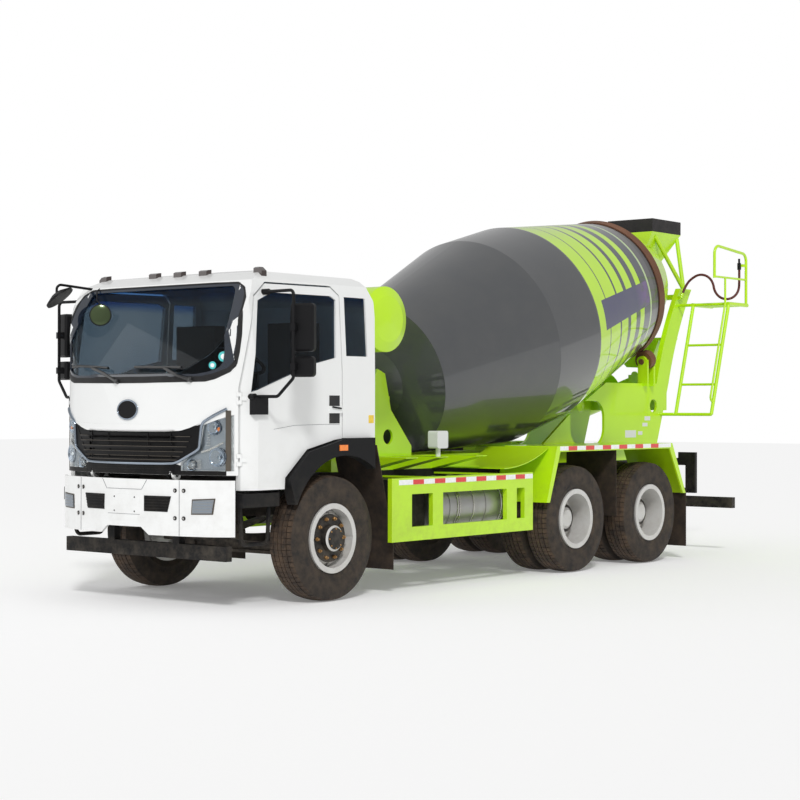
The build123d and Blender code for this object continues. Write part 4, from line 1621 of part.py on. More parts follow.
def ladder():
    """The leaning ladder, its platform of round bars, the guard hoop and the hose's clip."""
    frame = None
    for y in (LADDER_INNER_Y, LADDER_OUTER_Y):
        rail = rod((LADDER_FOOT_X, y, LADDER_FOOT_Z), (LADDER_TOP_X, y, PLATFORM_Z), LADDER_TUBE_R)
        side = rod((LADDER_TOP_X + PLATFORM_TUBE_R, y, PLATFORM_Z), (PLATFORM_REAR_X - PLATFORM_TUBE_R, y, PLATFORM_Z),
                   PLATFORM_TUBE_R)
        frame = rail + side if frame is None else frame + rail + side
    for z in RUNG_Z:
        frame = frame + rod_y(ladder_x(z), z, RUNG_R, LADDER_INNER_Y, LADDER_OUTER_Y)
    frame = frame + rod_y(LADDER_FOOT_X, LADDER_FOOT_Z, CROSS_TUBE_R, PLATE_Y, LADDER_OUTER_Y)
    frame = frame + rod_y(LADDER_TOP_X, PLATFORM_Z, CROSS_TUBE_R, PLATE_Y, LADDER_OUTER_Y)
    pitch = (LADDER_TOP_X - PLATFORM_REAR_X) / (TREAD_BARS + 1)
    for n in range(TREAD_BARS + 1):
        x = LADDER_TOP_X - pitch * (n + 1)
        frame = frame + rod_y(x, PLATFORM_Z, RUNG_R, LADDER_INNER_Y, LADDER_OUTER_Y)
    y = LADDER_OUTER_Y
    hoop = pipe(((HOOP_FRONT_X, y, HOOP_MID_Z - HOOP_TUBE_R), (HOOP_FRONT_X, y, HOOP_TOP_FRONT_Z),
                 (PLATFORM_REAR_X, y, HOOP_TOP_REAR_Z), (PLATFORM_REAR_X, y, PLATFORM_Z)), HOOP_BEND_R, HOOP_TUBE_R)
    mid = rod((HOOP_FRONT_X, y, HOOP_MID_Z), (PLATFORM_REAR_X, y, HOOP_MID_Z), HANDRAIL_R)
    foot_x = ladder_x(HANDRAIL_FOOT_Z)
    rail = pipe(((foot_x, y, HANDRAIL_FOOT_Z), (foot_x + HANDRAIL_OUTSET, y, HANDRAIL_FOOT_Z),
                 (ladder_x(PLATFORM_Z) + HANDRAIL_OUTSET, y, PLATFORM_Z),
                 (ladder_x(PLATFORM_Z) + HANDRAIL_OUTSET, y, HOOP_MID_Z)), HOOP_BEND_R / 2, HANDRAIL_R)
    start = Vector(*HOSE_POINTS[-1])
    clip_z = start.Z + NOZZLE_LENGTH / 4
    clip = box(PLATFORM_REAR_X, start.X, start.Y, y, clip_z, clip_z + CLIP_WIDTH)
    clip = clip - rod(start, start + nozzle_axis() * NOZZLE_LENGTH, NOZZLE_R)
    return frame + hoop + mid + rail + clip


def water_tank():
    half = WATER_TANK_HALF
    dish = WATER_TANK_DISH
    points = [(-half - dish, 0), (-half - dish * 0.6, WATER_TANK_R * 0.7), (-half, WATER_TANK_R), (half, WATER_TANK_R),
              (half + dish * 0.6, WATER_TANK_R * 0.7), (half + dish, 0)]
    tank = turned_profile(points, 0, WATER_TANK_X, WATER_TANK_Z)
    base = FRAME_TOP_Z + SUB_HEIGHT
    for side in (1, -1):
        y = side * WATER_STRAP_Y
        band = rod_y(WATER_TANK_X, WATER_TANK_Z, WATER_TANK_R + STRAP_THICKNESS, y - WATER_STRAP_WIDTH / 2,
                     y + WATER_STRAP_WIDTH / 2)
        leg_y = side * WATER_LEG_Y
        leg = box(WATER_TANK_X - WATER_LEG_WIDTH / 2, WATER_TANK_X + WATER_LEG_WIDTH / 2, leg_y - WATER_LEG_WIDTH / 2,
                  leg_y + WATER_LEG_WIDTH / 2, base, WATER_TANK_Z - WATER_TANK_R + OVERRUN)
        saddle = box(WATER_TANK_X - WATER_SADDLE_HALF, WATER_TANK_X + WATER_SADDLE_HALF, leg_y - WATER_LEG_WIDTH / 2,
                     leg_y + WATER_LEG_WIDTH / 2, WATER_TANK_Z - WATER_TANK_R - WATER_LEG_WIDTH, WATER_TANK_Z - WATER_TANK_R + OVERRUN)
        tank = tank + band + leg + saddle
    return tank


def hose_radii():
    """An arc at every bend, as large as its two runs allow."""
    radii = []
    for before, at, after in zip(HOSE_POINTS, HOSE_POINTS[1:], HOSE_POINTS[2:]):
        run_in = Vector(*at) - Vector(*before)
        run_out = Vector(*after) - Vector(*at)
        half_turn = math.radians(run_in.get_angle(run_out)) / 2
        radii.append(BEND_SHARE * min(run_in.length, run_out.length) / math.tan(half_turn))
    return radii


def wash_hose():
    radii = hose_radii()
    print("hose bend radii", [round(r) for r in radii])
    return pipe(HOSE_POINTS, radii, HOSE_R)


def hose_union():
    """The elbow on the left column that the hose leaves."""
    start = Vector(*HOSE_POINTS[0])
    along = (Vector(*HOSE_POINTS[1]) - start).normalized()
    tube = rod(start - along * UNION_LENGTH, start, UNION_R)
    low = start - along * UNION_LENGTH
    foot = box(low.X - UNION_R, low.X + UNION_R, PLATE_Y, low.Y, low.Z - UNION_R, low.Z + UNION_R)
    return foot + tube


def nozzle_axis():
    return (Vector(*HOSE_POINTS[-1]) - Vector(*HOSE_POINTS[-2])).normalized()


def hose_nozzle():
    start = Vector(*HOSE_POINTS[-1])
    along = nozzle_axis()
    shoulder = start + along * (NOZZLE_LENGTH * NOZZLE_BODY_SHARE)
    body = rod(start, shoulder, NOZZLE_R)
    tip = rod(shoulder, start + along * NOZZLE_LENGTH, NOZZLE_TIP_R)
    return body + tip


def control_box():
    y0 = CONTROL_Y - CONTROL_DEPTH / 2
    case = box(CONTROL_X - CONTROL_SIZE / 2, CONTROL_X + CONTROL_SIZE / 2, y0, y0 + CONTROL_DEPTH,
               CONTROL_Z - CONTROL_SIZE / 2, CONTROL_Z + CONTROL_SIZE / 2)
    case = fillet(case.edges().filter_by(Axis.Y), CONTROL_STALK_R)
    stalk = rod((CONTROL_X, CONTROL_Y, FRAME_TOP_Z + SUB_HEIGHT), (CONTROL_X, CONTROL_Y, CONTROL_Z), CONTROL_STALK_R)
    return case + stalk


def export(name, solids):
    """Writes one sub-part, given as a solid or a list of solids, in the vehicle's own axes."""
    shift = Pos(FRONT_AXLE_FROM_MIDDLE, 0, 0)
    if isinstance(solids, list):
        moved = Compound([shift * solid for solid in solids])
    else:
        moved = shift * solids
    export_step(moved, os.path.join("parts", name + ".step"))


def left_and_right(parts, name, solids):
    """Adds a left-hand sub-part and its mirror image."""
    if not isinstance(solids, list):
        solids = [solids]
    parts[name + "_left"] = solids
    parts[name + "_right"] = [mirrored(solid) for solid in solids]


def main():
    os.makedirs("parts", exist_ok=True)
    outer = cab_block(0)
    inner = cab_block(SKIN)
    parts = {
        "chassis_frame": chassis_frame(),
        "mixer_subframe": mixer_subframe(),
        "engine_block": engine_block(),
        "front_axle": front_axle(),
        "drive_axles": drive_axles(),
        "front_bumper": front_bumper(),
        "underrun_bars": underrun_bars(),
        "cab_steps": cab_steps(),
        "side_guards": side_guards(),
        "fuel_tank": fuel_tank(),
        "chassis_boxes": chassis_boxes(),
        "rear_mudguards": rear_mudguards(),
        "mud_flaps": mud_flaps(),
        "tail_lamps": tail_lamps(),
        "front_pedestal": front_pedestal(),
        "drum_gearbox": drum_gearbox(),
        "rear_pedestal": rear_pedestal(),
        "hopper": hopper(),
        "hopper_skirt": hopper_skirt(),
        "collector": collector(),
        "ladder": ladder(),
        "water_tank": water_tank(),
        "control_box": control_box(),
        "wash_hose": wash_hose(),
        "hose_nozzle": hose_nozzle(),
        "cab_body": cab_body(outer, inner),
        "cab_glass": cab_glass(),
        "grille": grille(),
        "headlamps": both_sides(headlamp()),
        "cab_interior": cab_interior(),
        "cab_trim": cab_trim(),
        "kerb_mirror": kerb_mirror(),
        "wheel_arches": wheel_arches(),
        "drum_body": drum_body(),
        "drum_ring": drum_ring(),
        "chute_yoke": chute_yoke(),
        "main_chute": main_chute(),
        "chute_extension": chute_extension(),
    }
    left_and_right(parts, "door", door_left(outer, inner))
    left_and_right(parts, "door_glass", door_glass_left())
    left_and_right(parts, "mirror", mirror_left())
    left_and_right(parts, "knuckle", knuckle_left())
    left_and_right(parts, "roller", roller_left())
    left_and_right(parts, "tyre_front", tyre(0, FRONT_WHEEL_Y))
    left_and_right(parts, "rim_front", front_rim())
    for place, x in (("mid", -WHEELBASE), ("rear", REAR_AXLE_X)):
        left_and_right(parts, "tyres_" + place, [tyre(x, TWIN_OUTER_Y), tyre(x, TWIN_INNER_Y)])
        left_and_right(parts, "rims_" + place, twin_rim(x))
    for name, solids in parts.items():
        export(name, solids)


main()
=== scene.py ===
# %% [markdown]
# # A concrete mixer truck, dressed in Blender
# The truck's solid parts arrive as a fixed frame: one mesh for each part, already in its place.
# This script adds what a photograph shows on top of them: paint, rubber, glass, tread, bolts,
# lamps, wipers and tape. One unit is a metre, +X points forwards, +Y to the truck's left, +Z up.

# %% Load the frame
import math
import bpy
import bmesh
from mathutils import Matrix, Vector
from mathutils.bvhtree import BVHTree


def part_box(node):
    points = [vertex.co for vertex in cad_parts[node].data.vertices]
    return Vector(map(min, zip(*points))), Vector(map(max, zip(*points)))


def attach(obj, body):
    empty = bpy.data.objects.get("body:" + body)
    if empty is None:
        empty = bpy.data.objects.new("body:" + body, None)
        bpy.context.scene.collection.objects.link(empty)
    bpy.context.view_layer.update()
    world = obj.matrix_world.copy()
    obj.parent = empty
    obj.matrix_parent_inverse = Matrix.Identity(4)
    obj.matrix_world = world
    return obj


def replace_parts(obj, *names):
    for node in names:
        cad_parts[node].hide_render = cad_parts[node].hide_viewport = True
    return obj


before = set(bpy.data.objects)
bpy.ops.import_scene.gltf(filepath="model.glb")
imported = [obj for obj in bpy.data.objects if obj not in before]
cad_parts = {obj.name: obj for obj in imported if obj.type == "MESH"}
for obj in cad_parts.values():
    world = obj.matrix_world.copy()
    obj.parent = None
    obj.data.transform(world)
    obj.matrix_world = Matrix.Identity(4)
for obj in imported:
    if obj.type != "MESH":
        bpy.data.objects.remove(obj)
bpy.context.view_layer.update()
print("solid parts:", len(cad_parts))

# %% [markdown]
# Every place in the source of the solids is measured in millimetres from the front axle. `at` turns
# such a measure into the frame's metres, so that a number here can be compared with the drawing of
# the truck. Left and right pieces are made in one loop over `SIDES`.

# %% Measures
AXLE_TO_MIDDLE = 2925.0
DRUM_TILT = math.radians(15)
DRUM_CENTRE = (-3500.0, 2282.0)
SIDES = (("left", 1), ("right", -1))
WAYS = (1, -1)
WHITE = (1, 1, 1, 1)


def at(x, y, z):
    """Millimetres from the front axle to metres in the frame."""
    return Vector(((x + AXLE_TO_MIDDLE) / 1000, y / 1000, z / 1000))


print("front axle at", tuple(at(0, 0, 526)))

# %% [markdown]
# The world, the materials and the repeat rules are all node trees. `add_node` makes one node and
# fills its inputs, each with a link or with a plain value, so that a tree reads as a short list.

# %% One node at a time
def add_node(tree, kind, inputs=(), **settings):
    node = tree.nodes.new(kind)
    for title, value in settings.items():
        setattr(node, title, value)
    for title, value in dict(inputs).items():
        if isinstance(value, bpy.types.NodeSocket):
            tree.links.new(value, node.inputs[title])
        else:
            node.inputs[title].default_value = value
    return node


def empty_tree(owner):
    owner.use_nodes = True
    owner.node_tree.nodes.clear()
    return owner.node_tree


print("node maker ready")

# %% [markdown]
# The camera stands where the photographer stood, about fifteen metres off the left front corner
# at head height, with a long lens. A long lens keeps the far wheels nearly as large as the near
# ones, which is why the truck looks calm and solid in the picture.

# %% Camera
CAMERA_PLACE = (14.2576, 10.9322, 1.6214)
CAMERA_YAW = math.radians(-141.2016)
CAMERA_PITCH = math.radians(0.2272)
CAMERA_ROLL = math.radians(0.0806)
LENS_MM = 80.83

camera_data = bpy.data.cameras.new("camera")
camera = bpy.data.objects.new("camera", camera_data)
bpy.context.scene.collection.objects.link(camera)
camera_data.lens = LENS_MM
camera_data.sensor_width = 36.0
camera_data.clip_end = 200.0
look = Vector((math.cos(CAMERA_YAW) * math.cos(CAMERA_PITCH), math.sin(CAMERA_YAW) * math.cos(CAMERA_PITCH),
               math.sin(CAMERA_PITCH)))
turn = look.to_track_quat("-Z", "Y").to_matrix().to_4x4() @ Matrix.Rotation(CAMERA_ROLL, 4, "Z")
camera.matrix_world = Matrix.Translation(CAMERA_PLACE) @ turn
bpy.context.scene.camera = camera
print("camera lens", camera_data.lens, "mm")

# %% [markdown]
# A white studio: a very wide pale floor, a soft white world, one broad sun from the camera's
# right and high up, and a weaker fill. The world's strength is kept low enough that a colour
# renders about as it is written, and rays that come straight from the camera, or that are
# mirrored in paint and glass, see plain white instead.

# %% World and lamps
WORLD_LIGHT = 0.5
SKY_LIGHT = 0.6
SKY_GREY = (0.93, 0.93, 0.93, 1)
scene = bpy.context.scene
scene.view_settings.view_transform = "Standard"
scene.world = bpy.data.worlds.new("studio")
tree = empty_tree(scene.world)
soft, mirrored_sky, seen = [
    add_node(tree, "ShaderNodeBackground", {"Color": colour, "Strength": strength}).outputs[0]
    for colour, strength in ((WHITE, WORLD_LIGHT), (SKY_GREY, SKY_LIGHT), (WHITE, 1.0))]
ray = add_node(tree, "ShaderNodeLightPath").outputs
first_mix = add_node(tree, "ShaderNodeMixShader", {0: ray["Is Glossy Ray"], 1: soft, 2: mirrored_sky})
see_through = add_node(tree, "ShaderNodeMath", {0: ray["Is Camera Ray"], 1: ray["Is Transmission Ray"]},
                       operation="MAXIMUM")
second_mix = add_node(tree, "ShaderNodeMixShader", {0: see_through.outputs[0], 1: first_mix.outputs[0],
                                                    2: seen})
add_node(tree, "ShaderNodeOutputWorld", {"Surface": second_mix.outputs[0]})


def lamp(name, kind, energy, place, aim, size):
    data = bpy.data.lights.new(name, kind)
    data.energy = energy
    if kind == "SUN":
        data.angle = size
    else:
        data.size = size
    obj = bpy.data.objects.new(name, data)
    scene.collection.objects.link(obj)
    obj.location = place
    obj.rotation_euler = (Vector(aim) - Vector(place)).to_track_quat("-Z", "Y").to_euler()
    return obj


lamp("sun", "SUN", 1.5, (9.0, 8.0, 11.0), (0.0, 0.0, 1.0), math.radians(9))
lamp("fill", "AREA", 120.0, (11.0, -7.0, 6.0), (1.0, 0.0, 1.5), 6.0)
print("lamps placed")

# %% [markdown]
# The floor is one wide square in matte white. It glows faintly, so that it meets the white
# background without a hard edge; more glow would wash out the truck's shadow.

# %% Floor
FLOOR_HALF = 60.0
FLOOR_LIGHT = 0.16
corners = [(x * FLOOR_HALF, y * FLOOR_HALF, 0) for x, y in ((-1, -1), (1, -1), (1, 1), (-1, 1))]
floor_mesh = bpy.data.meshes.new("floor")
floor_mesh.from_pydata(corners, [], [(0, 1, 2, 3)])
floor = bpy.data.objects.new("floor", floor_mesh)
scene.collection.objects.link(floor)
floor_look = bpy.data.materials.new("floor_white")
tree = empty_tree(floor_look)
matte = add_node(tree, "ShaderNodeBsdfDiffuse", {"Color": SKY_GREY})
own_light = add_node(tree, "ShaderNodeEmission", {"Strength": FLOOR_LIGHT})
both = add_node(tree, "ShaderNodeAddShader", {0: matte.outputs[0], 1: own_light.outputs[0]})
add_node(tree, "ShaderNodeOutputMaterial", {"Surface": both.outputs[0]})
floor_mesh.materials.append(floor_look)
print("floor", FLOOR_HALF * 2, "m wide")

# %% [markdown]
# ## The wash hose
# A rubber hose leaves the elbow on the left column, climbs over the ladder, sags across the
# platform and ends in its nozzle, which stands in a clip on the hoop. It could be a chain of
# rigid links or a swept mesh, but a hose is one smooth bend after another, so it is a NURBS
# curve of its route's points with a round bevel. The points' radius carries the hose's thickness,
# because a curve's box grows by that radius.

# %% Wash hose
HOSE_POINTS = (
    (-6762, 545, 2930), (-6812, 560, 3040), (-6836, 650, 3122), (-6832, 740, 3147),
    (-6836, 834, 3119), (-6842, 894, 3043), (-6845, 908, 2949), (-6893, 946, 2876),
    (-6964, 1004, 2852), (-7033, 1060, 2882), (-7077, 1095, 2958), (-7081, 1099, 3068),
    (-7080, 1098, 3196),
)
HOSE_R = 14
hose_line = bpy.data.curves.new("wash_hose_line", "CURVE")
hose_line.dimensions = "3D"
spline = hose_line.splines.new("NURBS")
spline.points.add(len(HOSE_POINTS) - 1)
for point, place in zip(spline.points, HOSE_POINTS):
    point.co = (*at(*place), 1)
    point.radius = HOSE_R / 1000
spline.order_u = 3
spline.use_endpoint_u = True
spline.resolution_u = 8
hose_line.bevel_depth = 1.0
hose_line.bevel_resolution = 5
hose_line.use_fill_caps = True
hose = bpy.data.objects.new("hose_line", hose_line)
scene.collection.objects.link(hose)
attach(hose, "chassis")
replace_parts(hose, "wash_hose")

# %% [markdown]
# ## Finishes
# Paint on a working truck is never one flat colour. Each paint here starts from its own colour,
# drifts a little lighter and darker in large soft patches, and takes on dust towards the ground,
# where the wheels throw it. The pattern reads Object coordinates, so it stays on the metal when a
# door or a wheel moves. The clear coat on top gives the sharp highlight of a washed vehicle.

# %% Colour and node helpers
def tone(red, green, blue):
    """A colour as a picture program shows it, 0 to 255, as the linear colour a shader wants."""
    out = []
    for part in (red, green, blue):
        c = part / 255
        out.append(c / 12.92 if c <= 0.04045 else ((c + 0.055) / 1.055) ** 2.4)
    return (out[0], out[1], out[2], 1.0)


def shade(colour, share):
    """The same colour, lighter or darker."""
    return tuple(min(1.0, c * share) for c in colour[:3]) + (1.0,)


def new_look(name, values=()):
    """A material with one Principled shader; returns material, node tree and shader."""
    look = bpy.data.materials.new(name)
    tree = empty_tree(look)
    shader = add_node(tree, "ShaderNodeBsdfPrincipled", values)
    add_node(tree, "ShaderNodeOutputMaterial", {"Surface": shader.outputs["BSDF"]})
    return look, tree, shader


def object_point(tree):
    return tree.nodes.new("ShaderNodeTexCoord").outputs["Object"]


def noise(tree, scale, detail=3.0, rough=0.55):
    return add_node(tree, "ShaderNodeTexNoise", {"Scale": scale, "Detail": detail, "Roughness": rough,
                                                 "Vector": object_point(tree)}).outputs["Fac"]


def fit(tree, value, low, high, out_low=0.0, out_high=1.0):
    return add_node(tree, "ShaderNodeMapRange", {"From Min": low, "From Max": high, "To Min": out_low,
                                                 "To Max": out_high, "Value": value}).outputs["Result"]


def maths(tree, operation, first, second):
    """One Math node; a plain number may stand for either input."""
    return add_node(tree, "ShaderNodeMath", {0: first, 1: second}, operation=operation).outputs[0]


def blend_colours(tree, amount, first, second):
    return add_node(tree, "ShaderNodeMix", {0: amount, 6: first, 7: second}, data_type="RGBA").outputs[2]


def colour_by(tree, shader, amount, first, second):
    tree.links.new(blend_colours(tree, amount, first, second), shader.inputs["Base Color"])


def roughness_by(tree, shader, value):
    tree.links.new(value, shader.inputs["Roughness"])


def bump(tree, shader, height, strength, distance):
    node = add_node(tree, "ShaderNodeBump", {"Strength": strength, "Distance": distance, "Height": height})
    tree.links.new(node.outputs["Normal"], shader.inputs["Normal"])


print("node helpers ready")

# %% [markdown]
# `dusty` is the finish that most parts share. Its dust mask is a noise that is weighed by height:
# full at `dust_floor`, gone at `dust_top`. Dust is dull, so the same mask also roughens the
# surface there.

# %% The dusty finish
ROAD_DUST = tone(150, 138, 122)


def dusty(name, colour, roughness, metallic=0.0, coat=0.0, drift=0.10, dust=0.5, dust_floor=0.0, dust_top=1.2,
          dust_colour=ROAD_DUST, grain=0.0, grain_scale=60.0, specular=0.5):
    look, tree, shader = new_look(name, {"Metallic": metallic, "Coat Weight": coat, "Coat Roughness": 0.06,
                                         "Specular IOR Level": specular})
    patch = fit(tree, noise(tree, 1.3, 4.0), 0.3, 0.7)
    base = blend_colours(tree, patch, shade(colour, 1 - drift), shade(colour, 1 + drift))
    height = add_node(tree, "ShaderNodeSeparateXYZ", {0: object_point(tree)}).outputs["Z"]
    low = fit(tree, height, dust_floor, dust_top, 1.0, 0.0)
    speck = fit(tree, noise(tree, 7.0, 8.0, 0.7), 0.42, 0.68)
    mask = maths(tree, "MULTIPLY", maths(tree, "MULTIPLY", low, speck), dust)
    colour_by(tree, shader, mask, base, dust_colour)
    roughness_by(tree, shader, fit(tree, mask, 0.0, 1.0, roughness, min(1.0, roughness + 0.45)))
    if grain:
        bump(tree, shader, noise(tree, grain_scale, 2.0), grain, 0.002)
    return look


LIME = tone(193, 238, 18)
lime_paint = dusty("lime_paint", LIME, 0.34, coat=0.55, drift=0.05, dust=0.35, dust_floor=0.3, dust_top=1.3,
                   dust_colour=tone(140, 150, 70))
cab_white = dusty("cab_white", tone(243, 244, 243), 0.28, coat=0.8, drift=0.02, dust=0.22, dust_floor=0.5,
                  dust_top=1.5, dust_colour=tone(176, 172, 164))
chassis_black = dusty("chassis_black", tone(30, 29, 29), 0.55, drift=0.15, dust=0.32, grain=0.15,
                      specular=0.2)
axle_iron = dusty("axle_iron", tone(46, 42, 39), 0.7, drift=0.25, dust=0.75, grain=0.5)
black_plastic = dusty("black_plastic", tone(20, 20, 22), 0.5, drift=0.12, dust=0.25, grain=0.2,
                      grain_scale=220.0, specular=0.2)
grille_black = dusty("grille_black", tone(9, 9, 11), 0.42, drift=0.2, dust=0.12, dust_top=1.5, grain=0.1,
                     grain_scale=200.0, specular=0.2)
box_white = dusty("box_white", tone(226, 228, 226), 0.4, drift=0.03, dust=0.2)
tank_grey = dusty("tank_grey", tone(168, 168, 166), 0.34, metallic=0.8, dust=0.5)
rim_silver = dusty("rim_silver", tone(214, 213, 210), 0.38, metallic=0.25, drift=0.05, dust=0.35,
                   dust_top=1.3)
rust_iron = dusty("rust_iron", tone(122, 84, 62), 0.6, metallic=0.35, drift=0.3, dust=0.0, grain=0.5)
bright_steel = dusty("bright_steel", tone(190, 188, 184), 0.25, metallic=1.0, drift=0.05, dust=0.3)
cab_lining = dusty("cab_lining", tone(74, 72, 70), 0.8, dust=0.0, grain=0.4, grain_scale=180.0)
print("dusty finishes:", lime_paint.name, cab_white.name, chassis_black.name)

# %% [markdown]
# Some finishes need their own idea. Rubber is matt, with dust in patches and a fine grain.

# %% Rubber
def rubber(name, colour, dust_colour, dust, roughness=0.72):
    look, tree, shader = new_look(name, {"Roughness": roughness, "Specular IOR Level": 0.35})
    mask = maths(tree, "MULTIPLY", fit(tree, noise(tree, 9.0, 9.0, 0.72), 0.36, 0.66), dust)
    colour_by(tree, shader, mask, colour, dust_colour)
    bump(tree, shader, noise(tree, 140.0), 0.25, 0.001)
    return look


tyre_rubber = rubber("tyre_rubber", tone(40, 37, 35), tone(92, 78, 64), 0.55)
tread_rubber = rubber("tread_rubber", tone(48, 42, 38), tone(104, 84, 66), 0.75)
skirt_rubber = rubber("skirt_rubber", tone(28, 26, 28), tone(70, 64, 62), 0.35, 0.5)
flap_rubber = rubber("flap_rubber", tone(40, 34, 30), tone(84, 68, 54), 0.5)
hose_rubber = rubber("hose_rubber", tone(92, 30, 34), tone(120, 84, 76), 0.3, 0.5)
seal_rubber = rubber("seal_rubber", tone(22, 22, 24), tone(60, 58, 56), 0.25, 0.55)
print("rubbers:", tyre_rubber.name, tread_rubber.name, skirt_rubber.name)

# %% [markdown]
# Lenses and tape share one glossy plastic look, which may glow a little. Clear glass and chrome only
# vary in how smooth they are, as a thin film of dirt makes them.

# %% Lenses, tape and chrome
def tinted(name, colour, roughness=0.16, glow=0.0):
    look, tree, shader = new_look(name, {"Roughness": roughness, "Coat Weight": 0.8, "Emission Color": colour,
                                         "Emission Strength": glow})
    colour_by(tree, shader, fit(tree, noise(tree, 40.0, 2.0), 0.35, 0.7), colour, shade(colour, 1.25))
    return look


lamp_amber = tinted("lamp_amber", tone(228, 120, 20), glow=0.12)
lamp_smoke = tinted("lamp_smoke", tone(48, 34, 30), 0.12)
tape_red = tinted("tape_red", tone(214, 26, 20), 0.3)
tape_white = tinted("tape_white", tone(238, 240, 240), 0.3)
sticker_teal = tinted("sticker_teal", tone(70, 190, 190), 0.4)
lamp_lens, tree, shader = new_look("lamp_lens", {"Base Color": tone(232, 236, 238), "IOR": 1.45,
                                                 "Transmission Weight": 1.0})
roughness_by(tree, shader, fit(tree, noise(tree, 5.0, 6.0, 0.7), 0.35, 0.7, 0.03, 0.06))
chrome, tree, shader = new_look("chrome", {"Base Color": tone(150, 160, 172), "Metallic": 1.0})
roughness_by(tree, shader, fit(tree, noise(tree, 12.0, 5.0), 0.3, 0.8, 0.06, 0.18))
print("lenses and chrome ready")

# %% [markdown]
# The drum carries the truck's decoration: a graphite belly, then lime with stripes that widen
# towards the mouth, and one plain dark blue panel on each turn. The stripes run round the drum, so
# the shader works out where each point lies along the slanted axle and looks that distance up in a
# short table. The panel is the part of that band between two angles.

# %% Drum paint
GRAPHITE = tone(66, 68, 71)
STRIPE_DARK = tone(56, 62, 74)
PANEL_BLUE = tone(48, 48, 92)
# (where the colour starts along the axle in millimetres, colour)
DRUM_BANDS = (
    (-1900, GRAPHITE), (700, LIME), (968, STRIPE_DARK), (980, LIME), (1236, STRIPE_DARK), (1274, LIME),
    (1446, STRIPE_DARK), (1534, LIME), (1682, STRIPE_DARK), (1798, LIME), (1918, STRIPE_DARK),
    (2086, tone(186, 210, 150)), (2124, tone(70, 68, 72)), (2250, tone(34, 32, 36)), (2475, LIME))
BAND_RANGE = (-1900, 3100)
PANEL_RANGE = (868, 2086)
PANEL_ANGLES = (78.0, 95.5)
drum_paint, tree, shader = new_look("drum_paint", {"Roughness": 0.32, "Coat Weight": 0.9,
                                                   "Coat Roughness": 0.05})


def drum_maths(operation, first, second):
    return maths(tree, operation, first, second)


x, y, z = add_node(tree, "ShaderNodeSeparateXYZ", {0: object_point(tree)}).outputs
centre = at(DRUM_CENTRE[0], 0, DRUM_CENTRE[1])
from_x = drum_maths("SUBTRACT", x, centre.x)
from_z = drum_maths("SUBTRACT", z, centre.z)
along = drum_maths("SUBTRACT", drum_maths("MULTIPLY", from_z, math.sin(DRUM_TILT)),
                   drum_maths("MULTIPLY", from_x, math.cos(DRUM_TILT)))
upward = drum_maths("ADD", drum_maths("MULTIPLY", from_z, math.cos(DRUM_TILT)),
                    drum_maths("MULTIPLY", from_x, math.sin(DRUM_TILT)))
angle_round = drum_maths("ARCTAN2", y, upward)
band_share = fit(tree, along, BAND_RANGE[0] / 1000, BAND_RANGE[1] / 1000)
ramp = add_node(tree, "ShaderNodeValToRGB", {"Fac": band_share})
bands = ramp.color_ramp
bands.interpolation = "CONSTANT"
bands.elements.remove(bands.elements[-1])
for number, (start, colour) in enumerate(DRUM_BANDS):
    share = (start - BAND_RANGE[0]) / (BAND_RANGE[1] - BAND_RANGE[0])
    element = bands.elements[0] if number == 0 else bands.elements.new(share)
    element.position = share
    element.color = colour
in_panel = 1.0
for operation, value, limit in (("GREATER_THAN", along, PANEL_RANGE[0] / 1000),
                                ("LESS_THAN", along, PANEL_RANGE[1] / 1000),
                                ("GREATER_THAN", angle_round, math.radians(PANEL_ANGLES[0])),
                                ("LESS_THAN", angle_round, math.radians(PANEL_ANGLES[1]))):
    in_panel = drum_maths("MULTIPLY", in_panel, drum_maths(operation, value, limit))
panel_colour = blend_colours(tree, fit(tree, along, 1.75, 2.0), PANEL_BLUE, tone(96, 60, 130))
striped = blend_colours(tree, in_panel, ramp.outputs["Color"], panel_colour)
smear = fit(tree, noise(tree, 2.2, 6.0, 0.6), 0.35, 0.75, 0.0, 0.10)
colour_by(tree, shader, smear, striped, tone(120, 116, 108))
bump(tree, shader, noise(tree, 1.1, 2.0), 0.10, 0.03)
print("drum bands:", len(DRUM_BANDS))

# %% [markdown]
# The windows are tinted glass with a blue shade band along the top of the windscreen. The colour
# changes with height in one material, so the band is part of the glass and not a second sheet.

# %% Screen glass with a shade band
screen_glass, tree, shader = new_look("screen_glass", {"Roughness": 0.0, "Transmission Weight": 1.0,
                                                       "IOR": 1.2})
height = add_node(tree, "ShaderNodeSeparateXYZ", {0: object_point(tree)}).outputs["Z"]
tint_drift = fit(tree, noise(tree, 1.5), 0.3, 0.7)
body_tint = blend_colours(tree, tint_drift, tone(122, 138, 150), tone(140, 152, 160))
colour_by(tree, shader, fit(tree, height, 2.46, 2.53), body_tint, tone(52, 92, 140))
print("glass:", screen_glass.name)

# %% [markdown]
# Each solid part keeps its own shape and only takes a finish. A table pairs the finishes with the
# parts, so it reads as the painter's list.

